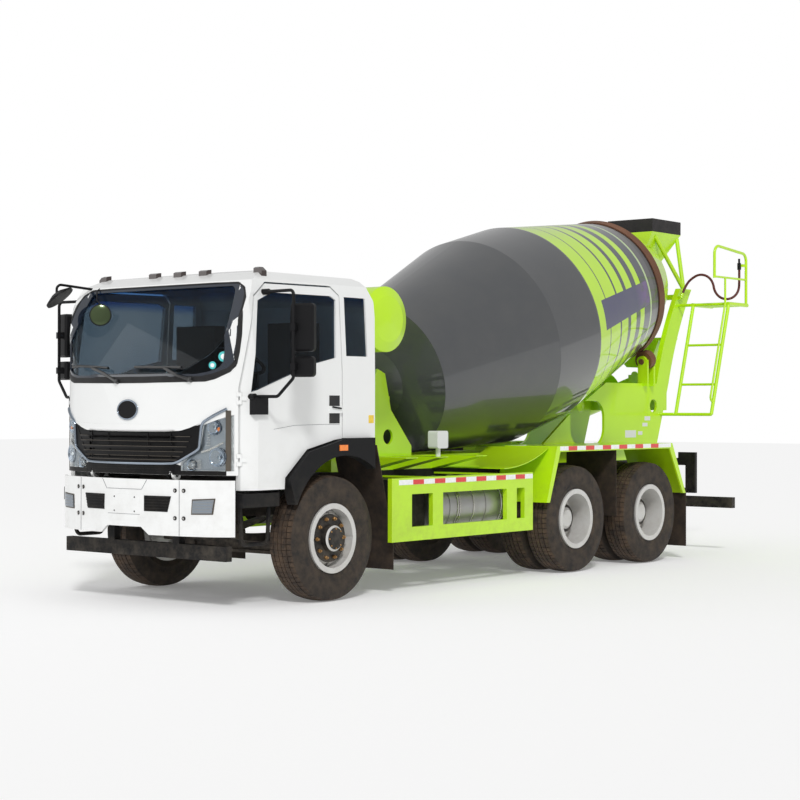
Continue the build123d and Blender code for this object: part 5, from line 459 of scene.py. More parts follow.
# %% Give the solid parts their finishes
FINISH_OF = {
    lime_paint: ("mixer_subframe", "side_guards", "rear_mudguards", "front_pedestal", "rear_pedestal",
                 "hopper", "collector", "ladder", "water_tank", "chute_yoke", "main_chute",
                 "chute_extension"),
    cab_white: ("cab_body", "door_left", "door_right", "front_bumper"),
    chassis_black: ("chassis_frame", "underrun_bars", "chassis_boxes", "tail_lamps"),
    axle_iron: ("engine_block", "front_axle", "drive_axles", "drum_gearbox", "knuckle_left", "knuckle_right"),
    black_plastic: ("cab_steps", "wheel_arches", "mirror_left", "mirror_right", "kerb_mirror", "hose_nozzle"),
    box_white: ("control_box",),
    tank_grey: ("fuel_tank",),
    rim_silver: ("rim_front_left", "rim_front_right", "rims_mid_left", "rims_mid_right", "rims_rear_left",
                 "rims_rear_right"),
    tyre_rubber: ("tyre_front_left", "tyre_front_right", "tyres_mid_left", "tyres_mid_right",
                  "tyres_rear_left", "tyres_rear_right"),
    skirt_rubber: ("hopper_skirt",),
    flap_rubber: ("mud_flaps",),
    rust_iron: ("drum_ring", "roller_left", "roller_right"),
    drum_paint: ("drum_body",),
    grille_black: ("grille",),
    lamp_lens: ("headlamps",),
    lamp_smoke: ("cab_trim",),
    screen_glass: ("cab_glass", "door_glass_left", "door_glass_right"),
    cab_lining: ("cab_interior",),
}
for finish, names in FINISH_OF.items():
    for name in names:
        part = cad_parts[name]
        part.data.materials.clear()
        part.data.materials.append(finish)
hose_line.materials.append(hose_rubber)
print("parts with a finish:", sum(len(names) for names in FINISH_OF.values()))

# %% [markdown]
# ## Tools for the small pieces
# Small parts on a truck are mostly strips of sheet, rods, turned forms and blocks. `Shape` gathers
# such closed forms into one mesh. Each could be a Blender primitive with modifiers, but a list of
# corners is easier to place from the drawing's measures, and it always closes.

# %% A gatherer of closed forms
class Shape:
    """Points and faces, in metres, of closed forms that belong to one piece."""

    def __init__(self):
        self.points = []
        self.faces = []

    def add(self, points, faces):
        first = len(self.points)
        self.points.extend(Vector(point) for point in points)
        self.faces.extend(tuple(first + n for n in face) for face in faces)

    def slab(self, outline, depth):
        count = len(outline)
        points = list(outline) + [point + depth for point in outline]
        faces = [tuple(range(count)), tuple(reversed(range(count, 2 * count)))]
        faces += [(n, n + count, (n + 1) % count + count, (n + 1) % count) for n in range(count)]
        self.add(points, faces)

    def block(self, low, high):
        (x0, y0, z0), (x1, y1, z1) = low, high
        self.slab([at(x, y, z0) for x, y in ((x0, y0), (x1, y0), (x1, y1), (x0, y1))],
                  Vector((0, 0, (z1 - z0) / 1000)))

    def band(self, here, there, sides):
        """Faces between two rings of points, and none across their ends."""
        self.faces.extend((here + k, here + (k + 1) % sides, there + (k + 1) % sides, there + k)
                          for k in range(sides))

    def cap(self, start, sides):
        self.faces.append(tuple(start + k for k in range(sides)))

    def turned(self, foot, axis, profile, sides=32, ring=False):
        """A form turned about an axis; the profile pairs a distance along it with a radius, in mm."""
        axis = axis.normalized()
        across = axis.orthogonal().normalized()
        upright = axis.cross(across)
        first = len(self.points)
        for along, radius in profile:
            for k in range(sides):
                angle = 2 * math.pi * k / sides
                out = across * math.cos(angle) + upright * math.sin(angle)
                self.points.append(foot + axis * (along / 1000) + out * (radius / 1000))
        rows = len(profile)
        for row in range(rows if ring else rows - 1):
            self.band(first + row * sides, first + ((row + 1) % rows) * sides, sides)
        if not ring:
            self.cap(first, sides)
            self.cap(first + (rows - 1) * sides, sides)

    def rod(self, start, end, radius, sides=14):
        self.turned(start, end - start, [(0, radius), ((end - start).length * 1000, radius)], sides)

    def tube(self, route, radius, sides=10):
        """A bent rod along a route of points; its joints are mitred."""
        first = len(self.points)
        side = (route[1] - route[0]).orthogonal().normalized()
        for n, point in enumerate(route):
            before = route[max(0, n - 1)]
            after = route[min(len(route) - 1, n + 1)]
            way = (after - before).normalized()
            side = (side - way * side.dot(way)).normalized()
            upright = way.cross(side)
            for k in range(sides):
                angle = 2 * math.pi * k / sides
                out = side * math.cos(angle) + upright * math.sin(angle)
                self.points.append(point + out * (radius / 1000))
        for row in range(len(route) - 1):
            self.band(first + row * sides, first + (row + 1) * sides, sides)
        self.cap(first, sides)
        self.cap(first + (len(route) - 1) * sides, sides)

    def sheet(self, rows, thickness):
        """A skin through a grid of (point, normal) pairs, thickened backwards by so many mm."""
        count = len(rows[0])
        total = count * len(rows)
        outer = [point for row in rows for point, normal in row]
        inner = [point - normal * (thickness / 1000) for row in rows for point, normal in row]
        faces = []
        for j in range(len(rows) - 1):
            for i in range(count - 1):
                a = j * count + i
                quad = (a, a + 1, a + count + 1, a + count)
                faces += [quad, tuple(total + n for n in reversed(quad))]
        rim = [i for i in range(count)] + [j * count + count - 1 for j in range(1, len(rows))]
        rim += [(len(rows) - 1) * count + i for i in reversed(range(count - 1))]
        rim += [j * count for j in reversed(range(1, len(rows) - 1))]
        faces += [(rim[n], total + rim[n], total + rim[(n + 1) % len(rim)], rim[(n + 1) % len(rim)])
                  for n in range(len(rim))]
        self.add(outer + inner, faces)

    def take(self, mesh, matrix):
        self.add([matrix @ vertex.co for vertex in mesh.vertices], [tuple(p.vertices) for p in mesh.polygons])


def mesh_of(shape, name, smooth=35.0):
    mesh = bpy.data.meshes.new(name)
    mesh.from_pydata(shape.points, [], shape.faces)
    work = bmesh.new()
    work.from_mesh(mesh)
    bmesh.ops.recalc_face_normals(work, faces=work.faces)
    work.to_mesh(mesh)
    work.free()
    mesh.shade_smooth()
    mesh.set_sharp_from_angle(angle=math.radians(smooth))
    return mesh


def fit_piece(name, shape, finish, body, smooth=35.0):
    """Turns a shape into a finished object that rides on a body."""
    obj = bpy.data.objects.new(name, mesh_of(shape, name, smooth))
    scene.collection.objects.link(obj)
    obj.data.materials.append(finish)
    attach(obj, body)
    piece_count.append(len(obj.data.polygons))
    return obj


piece_count = []
print("shape tools ready")

# %% [markdown]
# Trim follows the skin under it. Instead of guessing where a curved cab is, a straight line is
# dropped onto the solid from the front or from the side, and the piece starts where it lands.
# `along_line` spaces points evenly on a bent line, and `strip_rows` fills the ground between two
# such lines with regular cells.

# %% Landing on a solid
def skin_of(*names):
    points = []
    faces = []
    for name in names:
        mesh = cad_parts[name].data
        first = len(points)
        points += [vertex.co.copy() for vertex in mesh.vertices]
        faces += [tuple(first + n for n in polygon.vertices) for polygon in mesh.polygons]
    return BVHTree.FromPolygons(points, faces)


def front(skin, y, z, lift=0.0):
    """The point of a skin seen from straight ahead, lifted so many mm, with its normal."""
    place, normal, _, _ = skin.ray_cast(at(2000, y, z), Vector((-1, 0, 0)))
    return place + normal * (lift / 1000), normal


def flank(skin, x, z, lift, way):
    """The same from the side; way is 1 for the left and -1 for the right."""
    place, normal, _, _ = skin.ray_cast(at(x, 2000 * way, z), Vector((0, -way, 0)))
    return place + normal * (lift / 1000), normal


def flank_rows(skin, way, columns, heights, lift):
    return [[flank(skin, x, z, lift, way) for x in columns] for z in heights]


def between(first, second, share):
    return tuple(a + (b - a) * share for a, b in zip(first, second))


def along_line(points, count):
    lengths = [0.0]
    for before, after in zip(points, points[1:]):
        lengths.append(lengths[-1] + math.dist(before, after))
    out = []
    for n in range(count):
        goal = lengths[-1] * n / (count - 1)
        k = 0
        while k < len(lengths) - 2 and lengths[k + 1] < goal:
            k += 1
        share = (goal - lengths[k]) / (lengths[k + 1] - lengths[k])
        out.append(between(points[k], points[k + 1], share))
    return out


def strip_rows(land, first_line, second_line, columns, rows=2):
    """Rows of points between two bent lines; land drops each pair of measures onto a skin."""
    pairs = list(zip(along_line(first_line, columns), along_line(second_line, columns)))
    return [[land(*between(p, q, j / (rows - 1))) for p, q in pairs] for j in range(rows)]


def both_halves(line):
    """A line given on the left half, carried over to the right half as well."""
    return [(-y, z) for y, z in reversed(line)] + [(y, z) for y, z in line if y > 0]


nose = skin_of("cab_body", "cab_glass", "grille", "headlamps")


def on_nose(lift, way=1):
    """Lands on the nose; with way -1 a place given on the left lands on the right."""
    return lambda y, z: front(nose, way * y, z, lift)


print("nose at", [round(c, 3) for c in front(nose, 0, 1600)[0]])

# %% [markdown]
# ## Repeats by Geometry Nodes
# Nuts, lugs, bolts and tape squares are one small form repeated by a rule. Two node trees do all of
# it: one puts copies round a circle, the other along a straight line. The copies are realized, given
# their material and read back as a plain mesh, because a plain mesh exports everywhere.

# %% Two repeat trees
def repeat_tree(name, own_inputs):
    tree = bpy.data.node_groups.new(name, "GeometryNodeTree")
    for title, kind in (("Piece", "Object"), ("Count", "Int"), ("Finish", "Material")) + own_inputs:
        tree.interface.new_socket(title, in_out="INPUT", socket_type="NodeSocket" + kind)
    tree.interface.new_socket("Mesh", in_out="OUTPUT", socket_type="NodeSocketGeometry")
    return tree, tree.nodes.new("NodeGroupInput").outputs


def put_copies(tree, entry, points, **more):
    piece = add_node(tree, "GeometryNodeObjectInfo", {"Object": entry["Piece"]}).outputs["Geometry"]
    copies = add_node(tree, "GeometryNodeInstanceOnPoints", {"Points": points, "Instance": piece, **more})
    real = add_node(tree, "GeometryNodeRealizeInstances", {"Geometry": copies.outputs["Instances"]})
    paint = add_node(tree, "GeometryNodeSetMaterial", {"Geometry": real.outputs["Geometry"],
                                                       "Material": entry["Finish"]})
    add_node(tree, "NodeGroupOutput", {"Mesh": paint.outputs["Geometry"]})


ring_tree, entry = repeat_tree("pieces_in_a_ring", (("Radius", "Float"),))
circle = add_node(ring_tree, "GeometryNodeMeshCircle", {"Vertices": entry["Count"],
                                                        "Radius": entry["Radius"]})
index = add_node(ring_tree, "GeometryNodeInputIndex").outputs[0]
step = maths(ring_tree, "DIVIDE", 2 * math.pi, entry["Count"])
spin = add_node(ring_tree, "ShaderNodeCombineXYZ", {"Z": maths(ring_tree, "MULTIPLY", index, step)})
to_turn = add_node(ring_tree, "FunctionNodeEulerToRotation", {0: spin.outputs[0]})
put_copies(ring_tree, entry, circle.outputs["Mesh"], Rotation=to_turn.outputs[0])

row_tree, entry = repeat_tree("pieces_in_a_row", (("Start", "Vector"), ("Step", "Vector")))
line = add_node(row_tree, "GeometryNodeMeshLine", {"Count": entry["Count"], "Start Location": entry["Start"],
                                                   "Offset": entry["Step"]})
put_copies(row_tree, entry, line.outputs["Mesh"])


def repeated(tree, template, finish, **values):
    """Runs a repeat tree on a template shape and returns a plain mesh."""
    seed = bpy.data.objects.new("template", mesh_of(template, "template"))
    holder = bpy.data.objects.new("holder", bpy.data.meshes.new("holder"))
    scene.collection.objects.link(seed)
    scene.collection.objects.link(holder)
    modifier = holder.modifiers.new("repeat", "NODES")
    modifier.node_group = tree
    keys = {item.name: item.identifier for item in tree.interface.items_tree if item.in_out == "INPUT"}
    for title, value in {"Piece": seed, "Finish": finish, **values}.items():
        modifier[keys[title]] = value
    bpy.context.view_layer.update()
    graph = bpy.context.evaluated_depsgraph_get()
    mesh = bpy.data.meshes.new_from_object(holder.evaluated_get(graph), depsgraph=graph)
    bpy.data.objects.remove(holder)
    bpy.data.objects.remove(seed)
    return mesh


print("repeat trees:", ring_tree.name, row_tree.name)

# %% [markdown]
# ## Tyres
# A truck tyre is a smooth carcass with raised ribs that are cut across by narrow slots. The carcass is
# a turned profile. One pitch of tread, five small blocks side by side, is repeated round it by the
# ring tree. Modelled blocks catch the light at the tyre's edge, where bump would stay flat.

# %% Tyre carcass and tread
TYRE_R = 526.0
GROOVE_R = 512.0
TREAD_FOOT = GROOVE_R - 6
TREAD_PITCHES = 66
# (from, to) across the tyre, gap between blocks, all in millimetres
TREAD_RIBS = ((-118, -74, 7), (-66, -24, 4), (-17, 17, 3), (24, 66, 4), (74, 118, 7))
CARCASS = ((112, 258), (112, 292), (120, 304), (131, 340), (133, 344), (131, 348), (138, 396), (140, 420),
           (137, 466), (134, 470), (130, 492), (119, GROOVE_R), (60, GROOVE_R + 1))
# axle: (first word of its bodies, first word of its tyres, x, wheel middles outwards)
AXLES = {"front": ("wheel", "tyre", 0.0, (982.0,)), "mid": ("wheels", "tyres", -3550.0, (1072.0, 752.0)),
         "rear": ("wheels", "tyres", -4950.0, (1072.0, 752.0))}
TO_AXLE = Matrix.Rotation(math.radians(-90), 4, "X")


def crown(y):
    """The tread's radius across the tyre, a little lower at its shoulders."""
    return TYRE_R - 12.0 * (abs(y) / 118) ** 2.2


pitch = Shape()
for y0, y1, gap in TREAD_RIBS:
    half_arc = math.pi / TREAD_PITCHES - gap / 2 / TYRE_R
    corners = ((y0, -half_arc), (y1, -half_arc), (y1, half_arc), (y0, half_arc))
    places = [(TREAD_FOOT, y, a) for y, a in corners] + [(crown(y), y, a) for y, a in corners]
    pitch.add([Vector((r * math.cos(a) - TREAD_FOOT, r * math.sin(a), y)) / 1000 for r, y, a in places],
              [(0, 1, 2, 3), (4, 7, 6, 5), (0, 4, 5, 1), (1, 5, 6, 2), (2, 6, 7, 3), (3, 7, 4, 0)])
tread_mesh = repeated(ring_tree, pitch, tread_rubber, Count=TREAD_PITCHES, Radius=TREAD_FOOT / 1000)
print("tread faces:", len(tread_mesh.polygons))
profile = list(CARCASS) + [(-along, r) for along, r in reversed(CARCASS)]
for axle, (body_word, tyre_word, x, middles) in AXLES.items():
    for side, way in SIDES:
        carcass = Shape()
        tread = Shape()
        for y in middles:
            wheel_centre = at(x, y * way, TYRE_R)
            carcass.turned(wheel_centre, Vector((0, 1, 0)), profile, 72, ring=True)
            tread.take(tread_mesh, Matrix.Translation(wheel_centre) @ TO_AXLE)
        body = "%s_%s_%s" % (body_word, axle, side)
        node = "%s_%s_%s" % (tyre_word, axle, side)
        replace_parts(fit_piece(node + "_carcass", carcass, tyre_rubber, body), node)
        fit_piece(node + "_tread", tread, tread_rubber, body, 25)
print("tyres dressed, pieces so far:", len(piece_count))

# %% [markdown]
# ## Wheel hubs
# The front wheel shows its hub: a dark iron ring with ten nuts round a dull black cap. On a driven axle
# the rims are dished inwards, so the nuts sit deep inside, on the flange. One nut with its stud is
# made once and the ring tree repeats it.

# %% Nuts and hub rings
FRONT_DISC_Y = 1060
REAR_FLANGE_Y = 956
REAR_CAP_Y = 1052
NUT_CIRCLE = 0.1675
CAP_CIRCLE = 0.082
FRONT_RINGS = ((0, [(0, 202), (7, 200), (9, 192), (9, 112), (0, 109)], 64, True),
               (74, [(0, 92), (4, 90), (9, 66), (10, 30)], 40, False),
               (2, [(0, 111), (52, 110), (58, 109), (58, 90)], 48, False))
REAR_RINGS = ((0, [(0, 197), (5, 195), (6, 142), (0, 140)], 64, True),
              (REAR_CAP_Y - REAR_FLANGE_Y, [(0, 137), (14, 137), (20, 128), (22, 100)], 48, False))
UP = Vector((0, 0, 1))
nut_brass = dusty("nut_brass", tone(168, 128, 78), 0.4, metallic=0.7, drift=0.15, dust=0.35, dust_top=1.1)
hub_black = dusty("hub_black", tone(34, 32, 31), 0.5, metallic=0.3, drift=0.15, dust=0.5, dust_top=1.1)
nut = Shape()
nut.turned(Vector((0, 0, 0)), UP, [(0, 22), (4, 22), (5, 17), (24, 17), (27, 14)], 6)
nut.turned(Vector((0, 0, 0.024)), UP, [(0, 10), (14, 10), (16, 8)], 10)
wheel_nuts = repeated(ring_tree, nut, nut_brass, Count=10, Radius=NUT_CIRCLE)
small_bolt = Shape()
small_bolt.turned(Vector((0, 0, 0)), UP, [(0, 8), (9, 8), (11, 6)], 6)
cap_bolts = repeated(ring_tree, small_bolt, bright_steel, Count=8, Radius=CAP_CIRCLE)


def dress_hub(axle, side, way, x, face_y, rings, more=()):
    """Nuts and rings on one hub; face_y is its flange, and more adds (mesh, distance out)."""
    outwards = Matrix.Rotation(math.radians(-90 * way), 4, "X")
    body = "%s_%s_%s" % (AXLES[axle][0], axle, side)
    nuts = Shape()
    for mesh, out in ((wheel_nuts, 0),) + tuple(more):
        nuts.take(mesh, Matrix.Translation(at(x, (face_y + out) * way, TYRE_R)) @ outwards)
    fit_piece("%s_nuts_%s" % (axle, side), nuts, nut_brass, body)
    hub = Shape()
    for out, outline, sides, open_ring in rings:
        hub.turned(at(x, (face_y + out) * way, TYRE_R), Vector((0, way, 0)), outline, sides, ring=open_ring)
    fit_piece("%s_hub_ring_%s" % (axle, side), hub, hub_black, body)


for side, way in SIDES:
    dress_hub("front", side, way, AXLES["front"][2], FRONT_DISC_Y, FRONT_RINGS, ((cap_bolts, 75),))
    for axle in ("mid", "rear"):
        dress_hub(axle, side, way, AXLES[axle][2], REAR_FLANGE_Y, REAR_RINGS)
print("hubs dressed, pieces so far:", len(piece_count))

# %% [markdown]
# ## Windscreen surround
# The screen is bonded behind a wide black rubber surround with round corners. It is a strip between
# two outlines, laid on the nose and brought forwards where the glass lies deeper. A narrow dark margin
# inside it is the glass's printed edge. A bevelled curve would give a round cord, but the real one is
# a flat band.

# %% Black surround
SURROUND_INNER = [(0, 1860), (129, 1859), (738, 1866), (838, 1887), (930, 1930), (965, 1980), (985, 2066),
                  (998, 2230), (998, 2437), (975, 2540), (925, 2590), (854, 2608), (600, 2612), (0, 2612)]
MARGIN_INNER = [(0, 1880), (129, 1880), (700, 1884), (800, 1900), (880, 1935), (905, 1984), (912, 2066),
                (912, 2230), (890, 2400), (874, 2500), (860, 2560), (820, 2590), (600, 2592), (0, 2592)]
SURROUND_OUTER = [(0, 1814), (168, 1814), (782, 1822), (862, 1842), (957, 1897), (994, 1957), (1007, 2052),
                  (1018, 2190), (1022, 2368), (1012, 2500), (960, 2585), (870, 2628), (600, 2632), (0, 2632)]
ON_GLASS = 0.004
GLASS_STEP = 0.015
glass_skin = skin_of("cab_glass")


def on_screen_edge(lift, way):
    """Lands on the nose, and comes forwards by one step where it meets the glass."""
    def land(y, z):
        place, normal = front(nose, way * y, z, lift)
        on_glass = glass_skin.find_nearest(place)[3] < ON_GLASS
        return place + normal * (GLASS_STEP if on_glass else 0.0), normal
    return land


surround = Shape()
margin = Shape()
for way in WAYS:
    surround.sheet(strip_rows(on_screen_edge(2.5, way), SURROUND_INNER, SURROUND_OUTER, 110, 6), 17)
    margin.sheet(strip_rows(on_screen_edge(0.5, way), MARGIN_INNER, SURROUND_INNER, 110, 3), 12)
fit_piece("screen_surround", surround, seal_rubber, "cab", 50)
margin_blue = tinted("margin_blue", tone(30, 38, 50), 0.06)
fit_piece("screen_margin", margin, margin_blue, "cab", 50)
print("margin faces:", piece_count[-1])

# %% [markdown]
# ## Wipers, round mirror and stickers
# Two wipers park along the bottom of the screen, each a bent arm with a thin blade in a holder.
# A small round mirror hangs from the roof on a bent wire. The two round stickers are plain.

# %% Wipers, mirror and stickers
# (the arm from its pivot to the blade, the blade), as (y, z) on the screen
WIPERS = (
    (((654, 1834), (520, 1880), (385, 1918)),
     ((23, 1934), (160, 1931), (300, 1928), (440, 1926), (570, 1924))),
    (((-137, 1826), (-310, 1880), (-488, 1930)),
     ((-775, 1958), (-640, 1950), (-495, 1942), (-400, 1936), (-296, 1930))))
# (y, z, lift) of the mirror's wire from the roof down
WIRE = ((-800, 2640, -4), (-790, 2600, 40), (-700, 2500, 75), (-600, 2440, 80))
MIRROR_AIM = Vector((0.72, 0.68, 0.1))


def on_screen(line, lift):
    return [front(nose, y, z, lift)[0] for y, z in line]


wipers = Shape()
for arm, blade in WIPERS:
    arm_line = on_screen(arm[:1], 4) + on_screen(arm, 34)
    holder = on_screen(blade, 30)
    rubber_edge = on_screen(blade, 20)
    wipers.tube(arm_line, 13, 8)
    wipers.turned(arm_line[0], Vector((1, 0, 0.2)), [(-6, 22), (34, 20), (44, 12)], 16)
    wipers.tube(holder, 11, 8)
    wipers.tube(rubber_edge, 7, 6)
    for k in (1, 2, 3):
        wipers.rod(holder[k], rubber_edge[k], 6, 8)
wiper_black = tinted("wiper_black", tone(8, 8, 9), 0.6)
fit_piece("wipers", wipers, wiper_black, "cab")

round_mirror = Shape()
round_mirror.tube([front(nose, *place)[0] for place in WIRE], 6, 8)
mirror_middle = front(nose, -575, 2362, 80)[0]
round_mirror.turned(mirror_middle, MIRROR_AIM, [(-36, 18), (-26, 70), (-6, 92), (3, 94), (5, 86)], 40)
fit_piece("round_mirror", round_mirror, black_plastic, "cab")
mirror_disc = Shape()
mirror_disc.turned(mirror_middle + MIRROR_AIM.normalized() * 0.003, MIRROR_AIM,
                   [(0, 86), (4, 84), (9, 60), (11, 26)], 40)
# The mirror's face is painted a dull green in strong patches: a painted reflection, not a colour of the
# glass.
mirror_painted_reflection = dusty("mirror_painted_reflection", tone(78, 92, 62), 0.12, metallic=0.6, drift=0.3, dust=0.0)
fit_piece("round_mirror_face", mirror_disc, mirror_painted_reflection, "cab")

stickers = Shape()
dots = Shape()
for y, z, r in ((905, 2021, 41), (828, 1952, 31)):
    place, normal = front(nose, y, z, 2)
    stickers.turned(place, normal, [(0, r), (1.5, r)], 36)
    dots.turned(place + normal * 0.002, normal, [(0, r * 0.55), (1, r * 0.55)], 32)
fit_piece("screen_stickers", stickers, sticker_teal, "cab")
fit_piece("screen_sticker_middles", dots, tape_white, "cab")
print("screen pieces done:", len(piece_count))

# %% [markdown]
# ## Grille, chrome line and badge disc
# The bonnet's lower lip curves down over the grille, and a chrome line frames it from lamp to lamp.
# Black filler follows the line on both sides and a second, low grille runs between the lamps. The
# slats are thin bars; a lighter strip along the top front edge of each is a painted highlight. On the
# bonnet stands a plain black disc in a silver rim.

# %% Grille
LIP_TOP = [(0, 1482), (400, 1482), (733, 1493)]
LIP_LINE = [(0, 1419), (90, 1419), (400, 1421), (560, 1430), (640, 1452), (737, 1489)]
CHROME_LINE = [(0, 1162), (106, 1162), (400, 1164), (500, 1168), (545, 1182), (640, 1232), (715, 1274),
               (733, 1292), (742, 1380), (752, 1470), (768, 1500), (850, 1552), (938, 1606)]
FILLER_SIDES = (((716, 1474), (690, 1425), (605, 1300), (512, 1164)),
                ((750, 1484), (742, 1380), (731, 1288), (530, 1174)))
FILLER_LOW = (((0, 1160), (520, 1162), (562, 1150)), ((0, 1076), (520, 1076), (562, 1076)))
FILLER_ENDS = (((545, 1111), (760, 1111), (935, 1111)), ((545, 1076), (760, 1076), (935, 1076)))
# (height, half length) of each slat
SLAT_ROWS = ((1385, 655), (1345, 640), (1303, 620), (1262, 590), (1226, 560), (1196, 535))
LOW_SLAT_ROWS = ((1142, 505), (1120, 500), (1100, 495))
lip = Shape()
lip.sheet(strip_rows(on_nose(7), both_halves(LIP_TOP), both_halves(LIP_LINE), 61, 5), 12)
fit_piece("bonnet_lip", lip, cab_white, "cab", 50)

filler = Shape()
for way in WAYS:
    filler.sheet(strip_rows(on_nose(3, way), *FILLER_SIDES, 24, 8), 6)
filler.sheet(strip_rows(on_nose(3), *(both_halves(line) for line in FILLER_LOW), 61, 4), 6)
for way in WAYS:
    filler.sheet(strip_rows(on_nose(4, way), *FILLER_ENDS, 24, 3), 8)
fit_piece("grille_filler", filler, grille_black, "cab", 50)

# The lighter grey strip on each slat's top front edge is a painted highlight; the same grey is the plain
# colour of the fog lamp bezels and of the strips beside the headlamps.
slat_highlight_and_bezel = dusty("slat_highlight_and_bezel", tone(92, 86, 78), 0.35, metallic=0.5, drift=0.15, dust=0.2, dust_top=1.5)
slats = Shape()
edges = Shape()


def add_slat(shape, z, half, upper, lower, thickness):
    """A bar across the nose; its two edges are given as (distance up from z, lift)."""
    columns = [-half + 2 * half * n / 40 for n in range(41)]
    shape.sheet([[front(nose, y, z + up, lift) for y in columns] for up, lift in (upper, lower)], thickness)


for z, half in SLAT_ROWS:
    add_slat(slats, z, half, (0, 9), (-15, 3), 5)
    # a painted highlight strip along the slat's top front edge
    add_slat(edges, z, half, (1, 11), (-3, 11), 3)
for z, half in LOW_SLAT_ROWS:
    add_slat(slats, z, half, (0, 8), (-8, 8), 5)
for y in (-470, -235, 235, 470):
    slats.sheet([[front(nose, y - 4, z, 6), front(nose, y + 4, z, 6)] for z in (1410, 1340, 1270, 1190)], 5)
fit_piece("grille_slats", slats, grille_black, "cab")
fit_piece("grille_slat_edges", edges, slat_highlight_and_bezel, "cab")
print("slats:", len(SLAT_ROWS) + len(LOW_SLAT_ROWS))

# %% [markdown]
# The chrome line is a thin tube along its bent route, whose corners are rounded by one pass of
# averaging. The disc's outline is an oval that is dropped onto the bonnet point by point.

# %% Chrome line and badge disc
BADGE_Z = 1597
BADGE_HALF = (110, 74)
BADGE_POINTS = 48
line = along_line(CHROME_LINE, 90)
smooth_line = [line[0]]
for before, here, after in zip(line, line[1:], line[2:]):
    smooth_line.append(tuple((a + 2 * b + c) / 4 for a, b, c in zip(before, here, after)))
smooth_line.append(line[-1])
chrome_line = Shape()
for way in WAYS:
    chrome_line.tube([on_nose(7, way)(y, z)[0] for y, z in smooth_line], 12, 10)
fit_piece("grille_chrome_line", chrome_line, chrome, "cab", 60)


def badge_outline(share, lift):
    wide, high = (half * share for half in BADGE_HALF)
    turns = [2 * math.pi * n / BADGE_POINTS for n in range(BADGE_POINTS)]
    return on_screen([(wide * math.cos(turn), BADGE_Z + high * math.sin(turn)) for turn in turns], lift)


badge = Shape()
badge.slab(badge_outline(1.0, 3), Vector((0.007, 0, 0)))
fit_piece("badge_disc", badge, grille_black, "cab")
rim_line = badge_outline(1.05, 7)
rim = Shape()
rim.tube(rim_line + rim_line[:2], 7, 8)
fit_piece("badge_rim", rim, chrome, "cab", 60)
print("grille pieces done:", len(piece_count))

# %% [markdown]
# ## Headlamps
# A headlamp is a clear cover over a bright tray that holds round reflectors. The cover wraps the cab's
# corner, so it is swept about an upright axis: at each height, lines run towards the axis and land on
# the lamp's skin. The tray is the same sweep, pushed in. One block of glass would only look like milk.

# %% The lamp's sweep
lamp_skin = skin_of("headlamps")
LAMP_AXIS = (760.0, 560.0)
LAMP_TURNS = 40
LAMP_HEIGHTS = [1114 + 486 * n / 29 for n in range(30)]
LAMP_BACK = (932 + AXLE_TO_MIDDLE) / 1000


def lamp_line(way, z, degrees):
    """Where a line at this height and turn lands on the lamp, or None."""
    angle = math.radians(degrees)
    out = Vector((math.cos(angle), way * math.sin(angle), 0))
    start = at(LAMP_AXIS[0], way * LAMP_AXIS[1], z) + out * 2.0
    place = lamp_skin.ray_cast(start, -out)[0]
    if place is None or place.x < LAMP_BACK:
        return None
    return place, out


def lamp_rows(way, depth):
    """Rows over the lamp, so many mm under its skin; a line that misses repeats the one before."""
    rows = []
    for z in LAMP_HEIGHTS:
        turns = [q * 0.5 for q in range(-40, 180) if lamp_line(way, z, q * 0.5)]
        if not turns:
            continue
        step = (turns[-1] - turns[0]) / (LAMP_TURNS - 1)
        found = [lamp_line(way, z, turns[0] + step * k) for k in range(LAMP_TURNS)]
        last = found[0]
        row = []
        for hit in found:
            last = hit or last
            row.append((last[0] - last[1] * (depth / 1000), last[1]))
        rows.append(row)
    return rows


lamp_tray = dusty("lamp_tray", tone(150, 156, 162), 0.3, metallic=0.7, drift=0.12, dust=0.0)
clear_cover, tree, shader = new_look("clear_cover", {"Roughness": 0.0, "Transmission Weight": 1.0,
                                                     "IOR": 1.12})
colour_by(tree, shader, fit(tree, noise(tree, 6.0, 4.0), 0.3, 0.7), tone(236, 240, 242), tone(250, 252, 252))
print("rows on a lamp:", len(lamp_rows(1, 0)))

# %% [markdown]
# Bowls with a bulb, an amber flasher, a slanting divider and two fields of ribs fill the space between
# tray and cover. Each is placed on the lamp's skin and then pushed in by a negative lift.

# %% Headlamp parts
# (y, z, radius) of the round reflectors
BOWLS = ((850, 1456, 56), (878, 1222, 72), (655, 1158, 42))
DIVIDER = [(741, 1268), (800, 1284), (860, 1312), (915, 1346)]
